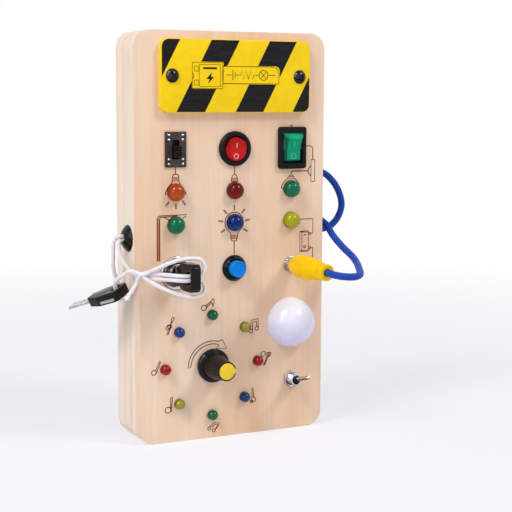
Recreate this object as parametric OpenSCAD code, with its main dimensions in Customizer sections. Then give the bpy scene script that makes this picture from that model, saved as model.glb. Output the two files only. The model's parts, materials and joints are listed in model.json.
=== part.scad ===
// Wooden busy board: a laminated wooden case with switches, lamps, a key lock,
// a patch cable and a rotary selector on its front face.
// Millimetres. +Z is up and the front faces -Y. The origin is the middle of the base.

/* [Case] */
// Width of the case
board_w = 100; // [96:1:120]
// Height of the case
board_h = 200; // [194:1:230]
// Radius of the four upright corners of each layer
corner_r = 8; // [4:0.5:10]
// Width of the wall round the hollow
wall_w = 11; // [10:0.5:12]
// Radius of the corners of the hollow
hollow_r = 4; // [2:0.5:6]
// Thickness of the front panel
panel_t = 7; // [6:0.5:8]
// Thickness of the front frame
front_frame_t = 7; // [6:0.5:9]
// Thickness of the middle frame
middle_frame_t = 8; // [7:0.5:10]
// Thickness of the rear frame
rear_frame_t = 8; // [7:0.5:10]
// Thickness of the back cover
cover_t = 3; // [2.5:0.5:4]
// Width of the ledge that carries the back cover
ledge_w = 6.5; // [6:0.5:7]

/* [Layout] */
// Distance of the outer columns from the sides
column_inset = 18.5; // [17:0.5:20]
// Height of the switch row, as a share of the case
switch_row = 0.7175; // [0.71:0.0025:0.72]
// Height of the upper lamp row, as a share of the case
upper_lamp_row = 0.615; // [0.61:0.0025:0.62]
// Height of the lower lamp row, as a share of the case
lower_lamp_row = 0.536; // [0.53:0.002:0.54]
// Height of the button and jack row, as a share of the case
button_row = 0.423; // [0.42:0.001:0.43]
// Height of the lock, as a share of the case
lock_row = 0.42; // [0.415:0.001:0.425]
// Height of the round lamp
dome_z = 55.2; // [52:0.2:58]
// Height of the toggle switch
toggle_z = 26; // [22:0.5:28]
// Height of the rotary selector
selector_z = 36.8; // [36:0.2:38]
// Sideways place of the rotary selector
selector_x = -12; // [-13:0.5:-10]
// Radius of the ring of small lamps round the selector
ring_r = 25.2; // [24:0.2:26]
// Height of the two side holes
side_hole_z = 100; // [98:0.5:102]
// Place of the side holes across the thickness of the case
side_hole_y = 0.5; // [-1:0.5:1]

/* [Sign plate] */
// Width of the sign plate
sign_w = 80; // [70:1:84]
// Height of the sign plate
sign_h = 35; // [30:1:35]
// Thickness of the sign plate
sign_t = 3.2; // [2.5:0.1:4]
// Radius of the corners of the sign plate
sign_r = 4; // [2:0.5:6]
// Gap between the sign plate and the top of the case
sign_top_gap = 4; // [3:0.5:5]
// Distance of the sign screws from the ends of the plate
sign_screw_inset = 5.8; // [5:0.2:8]
// Radius of the sign screw heads
sign_head_r = 3.4; // [3:0.1:4]
// Radius of the wood screw threads
screw_r = 1.3; // [1.1:0.1:1.5]

/* [Lamps] */
// Radius of the large lamp lenses
lamp_r = 4.3; // [4:0.1:5]
// Straight part of a large lens outside the panel
lamp_out = 1.2; // [0.5:0.1:3]
// Radius of the small lamp lenses
ring_lamp_r = 2.6; // [2:0.1:3]
// Straight part of a small lens outside the panel
ring_lamp_out = 1.2; // [0.5:0.1:3]
// Width of the rim at the back of every lens
lens_rim_w = 0.6; // [0.4:0.1:1]
// Thickness of the rim in the back of the panel
lens_rim_t = 1.2; // [0.8:0.1:1.5]
// Radius of the white lamp dome
dome_r = 12.7; // [11:0.1:13]
// Wall of the white lamp dome
dome_wall = 1.4; // [1.2:0.1:2]
// Radius of the neck of the white lamp dome
dome_neck_r = 10.6; // [9:0.1:10.8]

/* [Slide switch] */
// Width of the slide switch plate
slide_w = 11; // [10:0.5:12]
// Height of the slide switch plate
slide_h = 17; // [16:0.5:18]
// Thickness of the slide switch plate
slide_plate_t = 0.8; // [0.6:0.1:1.2]
// Depth of the slide switch body
slide_depth = 9; // [8:0.5:11]
// Width of the slot
slot_w = 4; // [3.6:0.1:4.4]
// Height of the slot
slot_h = 9.1; // [8.7:0.1:9.5]
// Height of the slider knob
slider_h = 5.3; // [5:0.1:5.6]
// How far the slider knob stands out of the plate
slider_out = 3.4; // [2.5:0.1:4]
// Travel of the slider
slider_travel = 2; // [1.6:0.1:2.2]

/* [Rocker switches] */
// Radius of the round rocker bezel
round_bezel_r = 8.5; // [8.3:0.1:9]
// Radius of the round rocker body
round_body_r = 7.5; // [7.3:0.1:7.8]
// Radius of the ball on which the round rocker turns
round_ball_r = 6.2; // [6:0.1:6.6]
// Width of the square rocker bezel
square_bezel_w = 15.2; // [15:0.2:17]
// Height of the square rocker bezel
square_bezel_h = 20.8; // [20:0.2:22]
// Width of the square rocker body
square_body_w = 13.2; // [13:0.1:14]
// Height of the square rocker body
square_body_h = 18.4; // [18:0.1:19]
// Width of the square rocker button
square_button_w = 10.6; // [10:0.1:11]
// Radius on which the ends of the square rocker swing
square_swing_r = 7.4; // [7:0.1:7.6]
// Width of the bevels along the square rocker
square_bevel_w = 1.7; // [1:0.1:2]
// Height of the bevels along the square rocker
square_bevel_h = 2; // [1:0.1:2.4]
// Height of both bezels above the panel
bezel_t = 2; // [1.5:0.1:2.5]
// Depth of both rocker bodies
rocker_depth = 10; // [9.5:0.5:10]
// Half of the full throw of a rocker, in degrees
rocker_half_throw = 11; // [9:0.5:12]
// Radius of the rocker pivot pins
rocker_pin_r = 0.8; // [0.6:0.1:1]

/* [Push button] */
// Radius of the push button bezel
button_bezel_r = 6.5; // [6.4:0.1:7.2]
// Height of the push button bezel above the panel
button_bezel_t = 2.6; // [2:0.1:3]
// Radius of the push button barrel
button_barrel_r = 5.6; // [5.4:0.1:5.9]
// Radius of the push button cap
button_cap_r = 4.1; // [3.9:0.1:4.3]
// How far the cap stands out of the panel
button_cap_out = 5.8; // [5.2:0.1:6.4]
// Length of the cap inside the barrel
button_cap_in = 5; // [4:0.5:6]
// Travel of the cap
button_travel = 2; // [1.5:0.1:2.4]

/* [Key lock] */
// Radius of the lock bezel
lock_bezel_r = 8.2; // [7.6:0.1:9]
// Height of the lock bezel above the panel
lock_bezel_t = 2.6; // [2:0.1:3]
// Radius of the lock barrel
lock_barrel_r = 6; // [5.8:0.1:6.4]
// Radius of the turning cylinder
lock_core_r = 4.6; // [4.4:0.1:4.8]
// How far the turning cylinder stands out of the panel
lock_core_out = 3.4; // [3:0.1:4]
// Length of the key blade
key_blade_l = 13; // [11:0.5:14]
// Height of the key blade
key_blade_h = 6; // [5:0.1:6.4]
// Thickness of the key blade
key_blade_t = 1.1; // [0.9:0.1:1.3]
// Length of the key head
key_head_l = 19; // [18:0.5:21]
// Half height of the key head
key_head_half = 6.6; // [6:0.1:7]
// Thickness of the key head
key_head_t = 5; // [4.4:0.1:5.4]
// Radius of the cord slot in the key head
key_slot_r = 1.9; // [1.6:0.1:2]

/* [Patch cable] */
// Radius of the jack ring
jack_ring_r = 4; // [3.6:0.1:4.6]
// Height of the jack ring above the panel
jack_ring_t = 1.6; // [1.2:0.1:2]
// Radius of the plug pin
plug_pin_r = 1.75; // [1.5:0.05:2]
// Length of the plug pin
plug_pin_l = 14; // [12:0.5:15]
// Radius of the metal sleeve between the jack ring and the grip
plug_sleeve_r = 3.7; // [3.4:0.1:4]
// Length of the metal sleeve
plug_sleeve_l = 4.2; // [3.5:0.1:5]
// Largest radius of the plug grip
plug_grip_r = 5.9; // [5:0.1:6.2]
// Radius of the grip where it meets the jack
plug_front_r = 4.8; // [4.4:0.1:5.2]
// Length of the swelling part of the grip
plug_grip_l = 25; // [24:0.5:27]
// Radius of the collar at the tail of the grip
plug_collar_r = 4.1; // [3.6:0.1:4.4]
// Length of the collar
plug_collar_l = 6.5; // [5:0.5:8]
// Radius of the patch cable
cable_r = 1.8; // [1.6:0.1:2]

/* [Toggle switch] */
// Width of the toggle nut across its flats
toggle_nut_af = 8; // [7.6:0.1:9]
// Thickness of the toggle nut
toggle_nut_t = 1.8; // [1.4:0.1:2.2]
// Radius of the toggle bushing
toggle_bush_r = 3; // [2.9:0.1:3.3]
// How far the bushing stands out of the panel
toggle_bush_out = 6; // [5:0.5:7]
// Length of the lever from its pivot
toggle_lever_l = 15.5; // [13:0.5:17]
// Half of the full throw of the lever, in degrees
toggle_half_throw = 15; // [10:1:15]

/* [Selector] */
// Radius of the knob skirt
skirt_r = 8.4; // [8.2:0.1:9]
// Thickness of the knob skirt
skirt_t = 2.6; // [2.2:0.1:3]
// Radius of the knob just above its skirt
knob_foot_r = 6.5; // [6:0.1:7]
// Radius of the knob at its top
knob_top_r = 4.75; // [4.4:0.1:5.5]
// Height of the knob above the panel
knob_out = 17; // [15:0.5:19]
// Radius of the coloured cap
knob_cap_r = 4.1; // [3.6:0.1:4.2]
// Radius of the selector shaft
shaft_r = 3; // [2.5:0.1:3.2]
// Radius of the threaded bushing round the shaft
bushing_r = 4.5; // [4.2:0.1:4.8]

/* [Cord and grommets] */
// Radius of the grommet domes
grommet_r = 6.7; // [6:0.1:7.4]
// Height of the grommet domes
grommet_out = 3.5; // [2.5:0.1:4]
// Radius of the grommet barrels
grommet_barrel_r = 4.3; // [4:0.1:4.8]
// Radius of the hole for the two lanyard strands
lanyard_hole_r = 2.4; // [2.3:0.1:2.8]
// Radius of the white lanyard cord
lanyard_r = 1; // [0.8:0.1:1]

/* [Battery and board] */
// Radius of a battery cell
cell_r = 7.2; // [6.8:0.1:7.3]
// Length of a battery cell
cell_l = 49.2; // [46:0.2:50]
// Wall of the battery box
box_wall = 1.5; // [1.2:0.1:2]
// Thickness of the circuit board
pcb_t = 1.6; // [1.2:0.1:2]
// Depth from the back of the panel to the circuit board
pcb_depth = 11; // [10.5:0.5:12]

/* [Hidden] */
$fn = 64;

// Clearances
fit = 0.05;        // radial gap of a running or close fit
gap = 0.3;         // gap between pieces that move past each other
through = 1;       // overshoot of a cut past the faces it goes through

// Case planes, from front to back
board_d = panel_t + front_frame_t + middle_frame_t + rear_frame_t;
face_y = -board_d / 2;
panel_back_y = face_y + panel_t;
front_frame_back_y = panel_back_y + front_frame_t;
middle_frame_back_y = front_frame_back_y + middle_frame_t;
back_y = face_y + board_d;
cover_in_y = back_y - cover_t;
pcb_y = panel_back_y + pcb_depth;
pcb_out = -(panel_t + pcb_depth);   // the same plane, counted outwards from the panel face
hollow_w = board_w - 2 * wall_w;
hollow_h = board_h - 2 * wall_w;
rebate_w = hollow_w + 2 * ledge_w;
rebate_h = hollow_h + 2 * ledge_w;

// Rows and columns
column_x = board_w / 2 - column_inset;
switch_z = board_h * switch_row;
upper_lamp_z = board_h * upper_lamp_row;
lower_lamp_z = board_h * lower_lamp_row;
button_z = board_h * button_row;
lock_z = board_h * lock_row;
toggle_x = column_x + 1;
sign_z = board_h - sign_top_gap - sign_h / 2;
sign_screw_x = sign_w / 2 - sign_screw_inset;
large_lamps = [
    [-column_x, upper_lamp_z], [0, upper_lamp_z], [column_x, upper_lamp_z],
    [-column_x, lower_lamp_z], [0, lower_lamp_z], [column_x, lower_lamp_z]
];
ring_steps = 8;
function ring_place(i) = [
    selector_x + ring_r * sin(360 / ring_steps * i),
    selector_z + ring_r * cos(360 / ring_steps * i)
];
ring_lamps = [for (i = [0:ring_steps - 1]) ring_place(i)];

// Wood screws
cover_screw_x = hollow_w / 2 + ledge_w / 2;
cover_screw_zs = [wall_w + 9, board_h / 2, board_h - wall_w - 9];
cover_screw_head_r = 2.6;
cover_screw_l = 7;
sign_screw_l = 8;
thread_bite = 0.2;

// Battery box, counted from the back of the case
bay_w = cell_l + 6;
bay_h = 4 * cell_r + 1.2;
bay_depth = 2 * cell_r + 0.6;
boss_w = 6.4;
box_w = bay_w + boss_w + 3 * box_wall;
box_h = bay_h + 2 * box_wall;
bay_x = -box_w / 2 + box_wall + bay_w / 2;
boss_x = box_w / 2 - box_wall - boss_w / 2;
battery_z = board_h - wall_w - box_h / 2 - 0.5;
cell_y = cover_in_y - bay_depth / 2;
door_rest = 0.7;
door_w = bay_w + boss_w + box_wall + 2 * door_rest;
door_h = bay_h + 2 * door_rest;
door_screw_r = 1.2;
door_screw_l = 6;
door_travel = 15;

// Circuit board
pcb_gap = 0.3;
pcb_w = hollow_w - 2 * pcb_gap;
pcb_low_z = wall_w + pcb_gap;
pcb_top_z = upper_lamp_z + 5;
lead_r = 0.3;
lead_pitch = 2.54;

// Panel nuts
nut_t = 2.4;
lock_nut_af = 14;
button_nut_af = 15;
jack_nut_af = 11;
selector_nut_af = 11;
hex_points = 6;
function hex_r(across_flats) = across_flats / 2 / cos(180 / hex_points);

// Key places
lock_face_out = lock_core_out;
key_shoulder_out = lock_face_out + 1.9;
key_shoulder_y = face_y - key_shoulder_out;
keyway_clear = 0.1;
key_end_bar = 1.3;
key_slot_back = key_head_l - key_end_bar - key_slot_r;
key_slot_half = 1.3;
spare_key_end = [-56.9, -10, 75.9];
spare_key_turn = [-133, -65.5, 169.5];

// Plug places
plug_face_out = jack_ring_t + gap;
grip_face_out = plug_face_out + plug_sleeve_l;
plug_tail_out = grip_face_out + plug_grip_l + plug_collar_l;
plug_axis_z = button_z + 0.4;
plug_hole_l = 3;
cable_clear = 0.05;
grip_grooves = 5;
jack_body_r = 3.9;

// Cord routes, points chosen along each cord
cord_sides = 8;
cable_route = [
    [44, 0.5, 100], [50, 0.5, 100], [57.5, 0.5, 100], [63, 0, 101.5], [67.5, 0, 105.5], [70, 0, 112],
    [69.5, 2, 119], [66.5, 4, 125], [62.5, 7, 129], [58, 11, 128.5], [54.5, 13, 123.5],
    [53.5, 11, 117], [54, 6.5, 111], [55.5, 0, 106.5], [57, -7, 103], [57, -14, 98], [58, -22, 93],
    [58.5, -31, 89]
];
cable_lead_route = [
    [31.5, face_y - plug_tail_out + plug_hole_l - 0.1, 85], [31.5, -53.5, 85], [31.7, -57.4, 84.8], [34.4, -62, 84.3], [39.4, -63.6, 84],
    [44.6, -60.6, 84.2], [48.8, -54.2, 84.9], [52.8, -46.5, 85.6], [56.4, -39, 86.6],
    [58.5, -31.5, 88.8]
];
lanyard_route = [
    [-44, 0.5, 101.1], [-51, 0.5, 101.15], [-53.6, 0.7, 101.2], [-55.6, 1.1, 100.5], [-56.8, 1.5, 98.8],
    [-57.1, 1.8, 96], [-57, 2.2, 91], [-56.9, 2.5, 86.5], [-56.2, 2.6, 82.6], [-54.9, 2.1, 78.7],
    [-53.6, 1.1, 74.8], [-53, -1.6, 71.9], [-54, -4.6, 70.5], [-56.1, -6.6, 71.1], [-58.1, -7.3, 73.5],
    [-59.7, -7.8, 76.9], [-60.2, -8.9, 80.5], [-57.2, -12.6, 84.2], [-55.6, -14.9, 85.9], [-53.8, -16.9, 86.1],
    [-52, -18.5, 85.3]
];
lanyard_tail_route = [
    [-52.4, -18.1, 83.1], [-52.9, -18.1, 80.9], [-54.1, -17.9, 78.8], [-55.4, -17.7, 76.8], [-56.6, -17.6, 75.1],
    [-57.2, -17.6, 74.2], [-57.4, -17.6, 73.9], [-58, -17.6, 73.1], [-58.4, -17.6, 72.6]
];
lanyard_tail_radii = [1, 1, 1, 1, 1, 1, 1.7, 1.7, 0.6];
lanyard_side_route = [
    [-44, 0.5, 98.9], [-53.6, 0.4, 98.9], [-55.5, -1.4, 97], [-55.5, -4.6, 91.8], [-53.8, -8.6, 87],
    [-52.2, -13, 84], [-50.2, -17, 83.1]
];
key_loop_upper_route = [
    [-48, -20, 85.3], [-44.5, -24.6, 85.3], [-40, -30, 85.1], [-35.5, -35.2, 85.1],
    [-31.5, -36.2, 85.1], [-28.5, -36.3, 85.3], [-26.2, -36.5, 87.2], [-25.8, -36.3, 90],
    [-27.5, -35.6, 92.6], [-31.5, -34.2, 93.2], [-37.5, -31.5, 92.2], [-45, -26, 88.5],
    [-49.8, -21.4, 85.3]
];
key_loop_lower_route = [
    [-48, -20, 83.1], [-44.5, -24.6, 82.9], [-40, -30, 82.9], [-35.5, -35.2, 82.9],
    [-31.5, -36.2, 82.9], [-28.5, -36.3, 82.6], [-26, -36.5, 80.6], [-26, -36.3, 77.4],
    [-28.5, -36, 75.3], [-32.5, -35.6, 75.2], [-39, -31, 76.8], [-45.6, -25.6, 80],
    [-49.8, -21.4, 83.1]
];
hitch_place = [-50, -19.3, 84.2];
hitch_turn = 53;
hitch_core_r = 2.6;
hitch_core_t = 2.6;

// ---- General shapes ----

// Places children on the front face: local x is right, y is up and z points out of the panel
module at_face(x, z, y = face_y) {
    translate([x, y, z]) rotate([90, 0, 0]) children();
}

// A flat slab with round corners, centred, standing on its face
module rounded_slab(w, h, t, r) {
    translate([-w / 2 + r, -h / 2, 0]) cube([w - 2 * r, h, t]);
    translate([-w / 2, -h / 2 + r, 0]) cube([w, h - 2 * r, t]);
    for (sx = [-1, 1], sy = [-1, 1])
        translate([sx * (w / 2 - r), sy * (h / 2 - r), 0]) cylinder(r = r, h = t);
}

// A block centred in x and y, between two levels
module block(w, h, from_z, to_z) {
    translate([-w / 2, -h / 2, from_z]) cube([w, h, to_z - from_z]);
}

// A round rod between two levels
module rod(r, from_z, to_z) {
    translate([0, 0, from_z]) cylinder(r = r, h = to_z - from_z);
}

module hex_nut(across_flats, hole_r, from_z, to_z) {
    difference() {
        translate([0, 0, from_z]) rotate([0, 0, 180 / hex_points])
            cylinder(r = hex_r(across_flats), h = to_z - from_z, $fn = hex_points);
        rod(hole_r + fit, from_z - through, to_z + through);
    }
}

// One layer of the case from one plane to another
module case_layer(from_y, to_y) {
    at_face(0, board_h / 2, to_y) rounded_slab(board_w, board_h, to_y - from_y, corner_r);
}

// The hollow of the case between two planes
module case_hollow(from_y, to_y, w = hollow_w, h = hollow_h, r = hollow_r) {
    at_face(0, board_h / 2, to_y) rounded_slab(w, h, to_y - from_y, r);
}

// Round holes through both side walls
module side_holes() {
    translate([0, side_hole_y, side_hole_z]) rotate([0, 90, 0])
        for (s = [-1, 1]) translate([0, 0, s * (board_w / 2 - wall_w / 2)])
            cylinder(r = grommet_barrel_r + fit, h = wall_w + 2 * through, center = true);
}

module frame_ring(from_y, to_y) {
    difference() {
        case_layer(from_y, to_y);
        case_hollow(from_y - through, to_y + through);
        side_holes();
    }
}

// ---- Swept cords ----

function unit(v) = v / norm(v);
function tangent(p, i) = unit(p[min(i + 1, len(p) - 1)] - p[max(i - 1, 0)]);
function across(t) = unit(cross(t, abs(t[2]) < 0.8 ? [0, 0, 1] : [0, 1, 0]));
function carried(s, t) = unit(s - t * (s * t));
function sides(p, i, s) = i >= len(p) ? [] : concat([s], sides(p, i + 1,
    i + 1 < len(p) ? carried(s, tangent(p, i + 1)) : s));

// A plain tube along a route, with one ring of points at each point of the route
module cord_tube(p, radii, n = cord_sides) {
    s = sides(p, 0, across(tangent(p, 0)));
    last = len(p) - 1;
    points = [for (i = [0:last], k = [0:n - 1])
        p[i] + radii[i] * (cos(360 / n * k) * s[i] + sin(360 / n * k) * cross(tangent(p, i), s[i]))];
    walls = [for (i = [0:last - 1], k = [0:n - 1], half = [0, 1])
        let (a = i * n + k, b = i * n + (k + 1) % n)
            half == 0 ? [a, a + n, b] : [b, a + n, b + n]];
    start = [for (k = [0:n - 1]) k];
    end = [for (k = [0:n - 1]) last * n + n - 1 - k];
    polyhedron(points, concat(walls, [start, end]));
}

function even(p, r) = [for (q = p) r];

// ---- Case ----

// Everything that passes through the front panel, drawn from the panel face inwards
module panel_openings() {
    deep = panel_t + through;
    at_face(-column_x, switch_z) block(slide_body_w + 2 * fit, slide_body_h + 2 * fit, -deep, through);
    at_face(0, switch_z) rod(round_body_r + fit, -deep, through);
    at_face(column_x, switch_z)
        block(square_body_w + 2 * fit, square_body_h + 2 * fit, -deep, through);
    for (q = large_lamps) at_face(q[0], q[1]) lens_hole(lamp_r);
    for (q = ring_lamps) at_face(q[0], q[1]) lens_hole(ring_lamp_r);
    at_face(0, button_z) rod(button_barrel_r + fit, -deep, through);
    at_face(-column_x, lock_z) rod(lock_barrel_r + fit, -deep, through);
    at_face(column_x, plug_axis_z) rod(jack_body_r + fit, -deep, through);
    at_face(column_x, dome_z) rod(dome_neck_r + fit, -deep, through);
    at_face(toggle_x, toggle_z) rod(toggle_bush_r + fit, -deep, through);
    at_face(selector_x, selector_z) rod(bushing_r + fit, -deep, through);
    for (s = [-1, 1]) at_face(s * sign_screw_x, sign_z)
        rod(screw_r - thread_bite, -sign_screw_l + sign_t, through);
}

// A hole for a lens, with a recess for its rim in the back of the panel
module lens_hole(r) {
    rod(r + fit, -panel_t - through, through);
    rod(r + lens_rim_w + fit, -panel_t - through, -panel_t + lens_rim_t + fit);
}

module front_panel() {
    color("burlywood") difference() {
        case_layer(face_y, panel_back_y);
        panel_openings();
    }
}

module front_frame() {
    color("tan") frame_ring(panel_back_y, front_frame_back_y);
}

module middle_frame() {
    color("burlywood") frame_ring(front_frame_back_y, middle_frame_back_y);
}

module rear_frame() {
    color("tan") difference() {
        frame_ring(middle_frame_back_y, back_y);
        case_hollow(cover_in_y, back_y + through, rebate_w, rebate_h, hollow_r);
        for (x = [-cover_screw_x, cover_screw_x], z = cover_screw_zs)
            at_face(x, z, cover_in_y) rod(screw_r - thread_bite, 0, cover_screw_l - cover_t);
    }
}

// A countersunk wood screw whose flat head is at level 0 and whose tip points to +z
module countersunk_screw(r, head_r, l) {
    head_h = head_r - r;
    difference() {
        union() {
            cylinder(r1 = head_r, r2 = r, h = head_h);
            rod(r, 0, l);
        }
        for (a = [0, 90]) rotate([0, 0, a])
            translate([-head_r * 0.6, -0.3, -through]) cube([head_r * 1.2, 0.6, through + 0.8]);
    }
}

module countersink(r, head_r, depth) {
    head_h = head_r - r;
    cylinder(r1 = head_r + fit, r2 = r, h = head_h);
    translate([0, 0, -through]) cylinder(r = head_r + fit, h = through);
    rod(r, 0, depth);
}

module back_cover() {
    color("burlywood") difference() {
        case_hollow(cover_in_y, back_y, rebate_w - 2 * gap, rebate_h - 2 * gap, hollow_r - gap);
        for (x = [-cover_screw_x, cover_screw_x], z = cover_screw_zs)
            at_face(x, z, back_y) countersink(screw_r + fit, cover_screw_head_r, cover_t + through);
        at_face(0, battery_z, back_y)
            block(door_w + 2 * gap, door_h + 2 * gap, -through, cover_t + through);
    }
}

module back_cover_screws() {
    color("dimgray") for (x = [-cover_screw_x, cover_screw_x], z = cover_screw_zs)
        at_face(x, z, back_y) countersunk_screw(screw_r, cover_screw_head_r, cover_screw_l);
}

module sign_plate() {
    color("gold") difference() {
        at_face(0, sign_z) rounded_slab(sign_w, sign_h, sign_t, sign_r);
        for (s = [-1, 1]) at_face(s * sign_screw_x, sign_z)
            rod(screw_r + fit, -through, sign_t + through);
    }
}

// Pan head screws with a cross recess
module sign_screws() {
    head_h = 2;
    ball_r = (sign_head_r * sign_head_r + head_h * head_h) / (2 * head_h);
    recess = 0.9;
    color("dimgray") for (s = [-1, 1]) at_face(s * sign_screw_x, sign_z) difference() {
        union() {
            intersection() {
                translate([0, 0, sign_t + head_h - ball_r]) sphere(r = ball_r);
                rod(sign_head_r, sign_t, sign_t + head_h);
            }
            rod(screw_r, sign_t - sign_screw_l, sign_t + head_h / 2);
        }
        for (a = [45, 135]) rotate([0, 0, a])
            block(sign_head_r * 1.3, 0.8, sign_t + head_h - recess, sign_t + head_h + through);
    }
}

// ---- Battery box ----

module battery_box() {
    color("darkslategray") at_face(0, battery_z, cover_in_y) difference() {
        block(box_w, box_h, 0, bay_depth + box_wall);
        translate([bay_x, 0, 0]) block(bay_w, bay_h, -through, bay_depth);
        translate([boss_x, 0, 0]) rod(door_screw_r + fit, -through, door_screw_l);
    }
}

module batteries() {
    color("dimgray") for (s = [-1, 1])
        translate([bay_x, cell_y, battery_z + s * (cell_r + 0.2)]) rotate([0, s * 90, 0]) {
            cylinder(r = cell_r, h = cell_l - 1.2, center = true);
            cylinder(r = 2.6, h = cell_l / 2 + 0.6);
        }
}

module battery_door() {
    rib_pitch = 2;
    rib_w = 0.8;
    rib_l = 12;
    rib_depth = 0.5;
    color("darkslategray") difference() {
        at_face(0, battery_z, back_y) block(door_w, door_h, 0, cover_t);
        at_face(boss_x, battery_z, back_y)
            countersink(door_screw_r + fit, cover_screw_head_r, cover_t + through);
        for (i = [-2:2])
            translate([bay_x + i * rib_pitch - rib_w / 2, back_y - rib_depth, battery_z - rib_l / 2])
                cube([rib_w, rib_depth + through, rib_l]);
    }
}

module battery_door_screw() {
    color("silver") at_face(boss_x, battery_z, back_y)
        countersunk_screw(door_screw_r, cover_screw_head_r, cover_t + door_screw_l - 0.5);
}

// ---- Circuit board, leads and nuts ----

module circuit_board() {
    lamp_led_r = 2.5;
    lamp_led_l = 4;
    color("seagreen") {
        at_face(0, (pcb_low_z + pcb_top_z) / 2, pcb_y + pcb_t)
            rounded_slab(pcb_w, pcb_top_z - pcb_low_z, pcb_t, hollow_r);
        at_face(column_x, dome_z, pcb_y) {
            rod(lamp_led_r, 0, lamp_led_l);
            translate([0, 0, lamp_led_l]) sphere(r = lamp_led_r);
        }
    }
}

module lead_pair(foot_out) {
    for (s = [-1, 1]) translate([s * lead_pitch / 2, 0, 0]) rod(lead_r, pcb_out, foot_out);
}

// Lamp leads, rocker terminals and the battery contacts
module contacts_and_leads() {
    foot_out = -panel_t;
    lock_terminal_x = 3;
    plate_t = 0.4;
    color("silver") {
        for (q = concat(large_lamps, ring_lamps)) at_face(q[0], q[1]) lead_pair(foot_out);
        for (x = [0, column_x], s = [-1, 1]) at_face(x, switch_z)
            translate([0, s * 4, 0]) block(4.8, 0.8, -rocker_depth - 7, -rocker_depth);
        for (s = [-1, 1]) at_face(-column_x + s * lock_terminal_x, lock_z)
            block(0.8, 3, pcb_out, -lock_depth);
        for (s = [-1, 1], e = [-1, 1])
            translate([bay_x + e * (bay_w / 2 - plate_t / 2), cell_y, battery_z + s * (cell_r + 0.2)])
                cube([plate_t, 9, 9], center = true);
        for (s = [-1, 1])
            translate([bay_x - s * (bay_w / 2 - plate_t), cell_y, battery_z + s * (cell_r + 0.2)])
                rotate([0, s * 90, 0]) cylinder(r1 = 4, r2 = 2, h = (bay_w - cell_l) / 2 - plate_t + 0.6);
        for (s = [-1, 1])
            translate([bay_x + s * (bay_w / 2 - plate_t), cell_y, battery_z + s * (cell_r + 0.2)])
                rotate([0, -s * 90, 0]) cylinder(r = 2.4, h = (bay_w - cell_l) / 2 - plate_t - 0.6);
    }
}

// Nuts that hold the panel-mounted parts
module panel_nuts() {
    color("silver") {
        at_face(-column_x, lock_z)
            hex_nut(lock_nut_af, lock_barrel_r, -panel_t - nut_t, -panel_t);
        at_face(0, button_z)
            hex_nut(button_nut_af, button_barrel_r, -panel_t - nut_t, -panel_t);
        at_face(column_x, plug_axis_z)
            hex_nut(jack_nut_af, jack_body_r, -panel_t - nut_t, -panel_t);
        at_face(selector_x, selector_z) hex_nut(selector_nut_af, bushing_r, 0, 2);
    }
}

// ---- Slide switch ----

slide_body_w = slide_w - 2;
slide_body_h = slide_h - 3;
slider_w = slot_w - 0.4;
slider_shoe_w = slider_w + 2;
slider_shoe_h = slider_h + 1.2;
slider_shoe_t = 1;
slide_cavity_t = 3;
slider_low = -slot_h / 2 + 0.9;

module slide_switch_housing() {
    rivet_r = 0.45;
    shoe_room_w = slider_shoe_w + 2 * gap;
    shoe_room_h = slot_h + 2;
    color("dimgray") at_face(-column_x, switch_z) difference() {
        union() {
            block(slide_w, slide_h, 0, slide_plate_t);
            block(slide_body_w, slide_body_h, -slide_depth, 0);
            for (sx = [-1, 1], sy = [-1, 1], k = [0, 1])
                translate([sx * (slide_w / 2 - 1.9), sy * (slide_h / 2 - 1.6 - 2.2 * k), 0])
                    rod(rivet_r, 0, slide_plate_t + 0.25);
        }
        block(slot_w, slot_h, -slide_cavity_t, slide_plate_t + through);
        block(shoe_room_w, shoe_room_h, -slide_cavity_t, -gap);
    }
}

module slide_switch_slider() {
    groove_pitch = 1.1;
    groove_count = floor((slider_h - 1) / groove_pitch);
    top = slide_plate_t + slider_out;
    color("black") at_face(-column_x, switch_z) difference() {
        union() {
            translate([0, slider_low + slider_h / 2, 0])
                block(slider_w, slider_h, -slide_cavity_t + gap, top);
            translate([0, slider_low + slider_h / 2, 0])
                block(slider_shoe_w, slider_shoe_h, -2 * gap - slider_shoe_t, -2 * gap);
        }
        for (i = [0:groove_count])
            translate([0, slider_low + slider_h / 2 + (i - groove_count / 2) * groove_pitch, top])
                rotate([45, 0, 0]) cube([slider_w + 1, 0.6, 0.6], center = true);
    }
}

// ---- Rocker switches ----

rocker_pivot_out = 0.5;
round_valley = 1.6;
square_valley = 2.2;
rocker_floor = 2.8;
round_button_r = round_ball_r - 0.5;
square_open_w = square_button_w + 2 * gap;
square_open_h = 2 * square_swing_r + 2 * 0.2;
rocker_pin_clear = 0.06;

// The side outline of a rocker: a shallow valley over a deep root, swept across the switch
module rocker_wedge(half_h, valley, w) {
    lift = half_h * tan(rocker_half_throw);
    rotate([90, 0, 90]) translate([0, 0, -w / 2]) linear_extrude(w)
        polygon([[-half_h, -half_h], [half_h, -half_h], [half_h, valley + lift], [0, valley],
            [-half_h, valley + lift]]);
}

// One face of the square rocker with a bevel along each side, for the end on the +y side
module bevelled_face() {
    w = square_button_w / 2;
    top = square_valley * cos(rocker_half_throw);
    low = -2 * square_swing_r;
    intersection() {
        rotate([rocker_half_throw, 0, 0]) rotate([-90, 0, 0]) translate([0, 0, -square_swing_r])
            linear_extrude(3 * square_swing_r)
                polygon([[-w, -low], [w, -low], [w, square_bevel_h - top], [w - square_bevel_w, -top],
                    [square_bevel_w - w, -top], [-w, square_bevel_h - top]]);
        translate([-w - 1, 0, low]) cube([2 * w + 2, 2 * square_swing_r, -2 * low]);
    }
}

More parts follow.
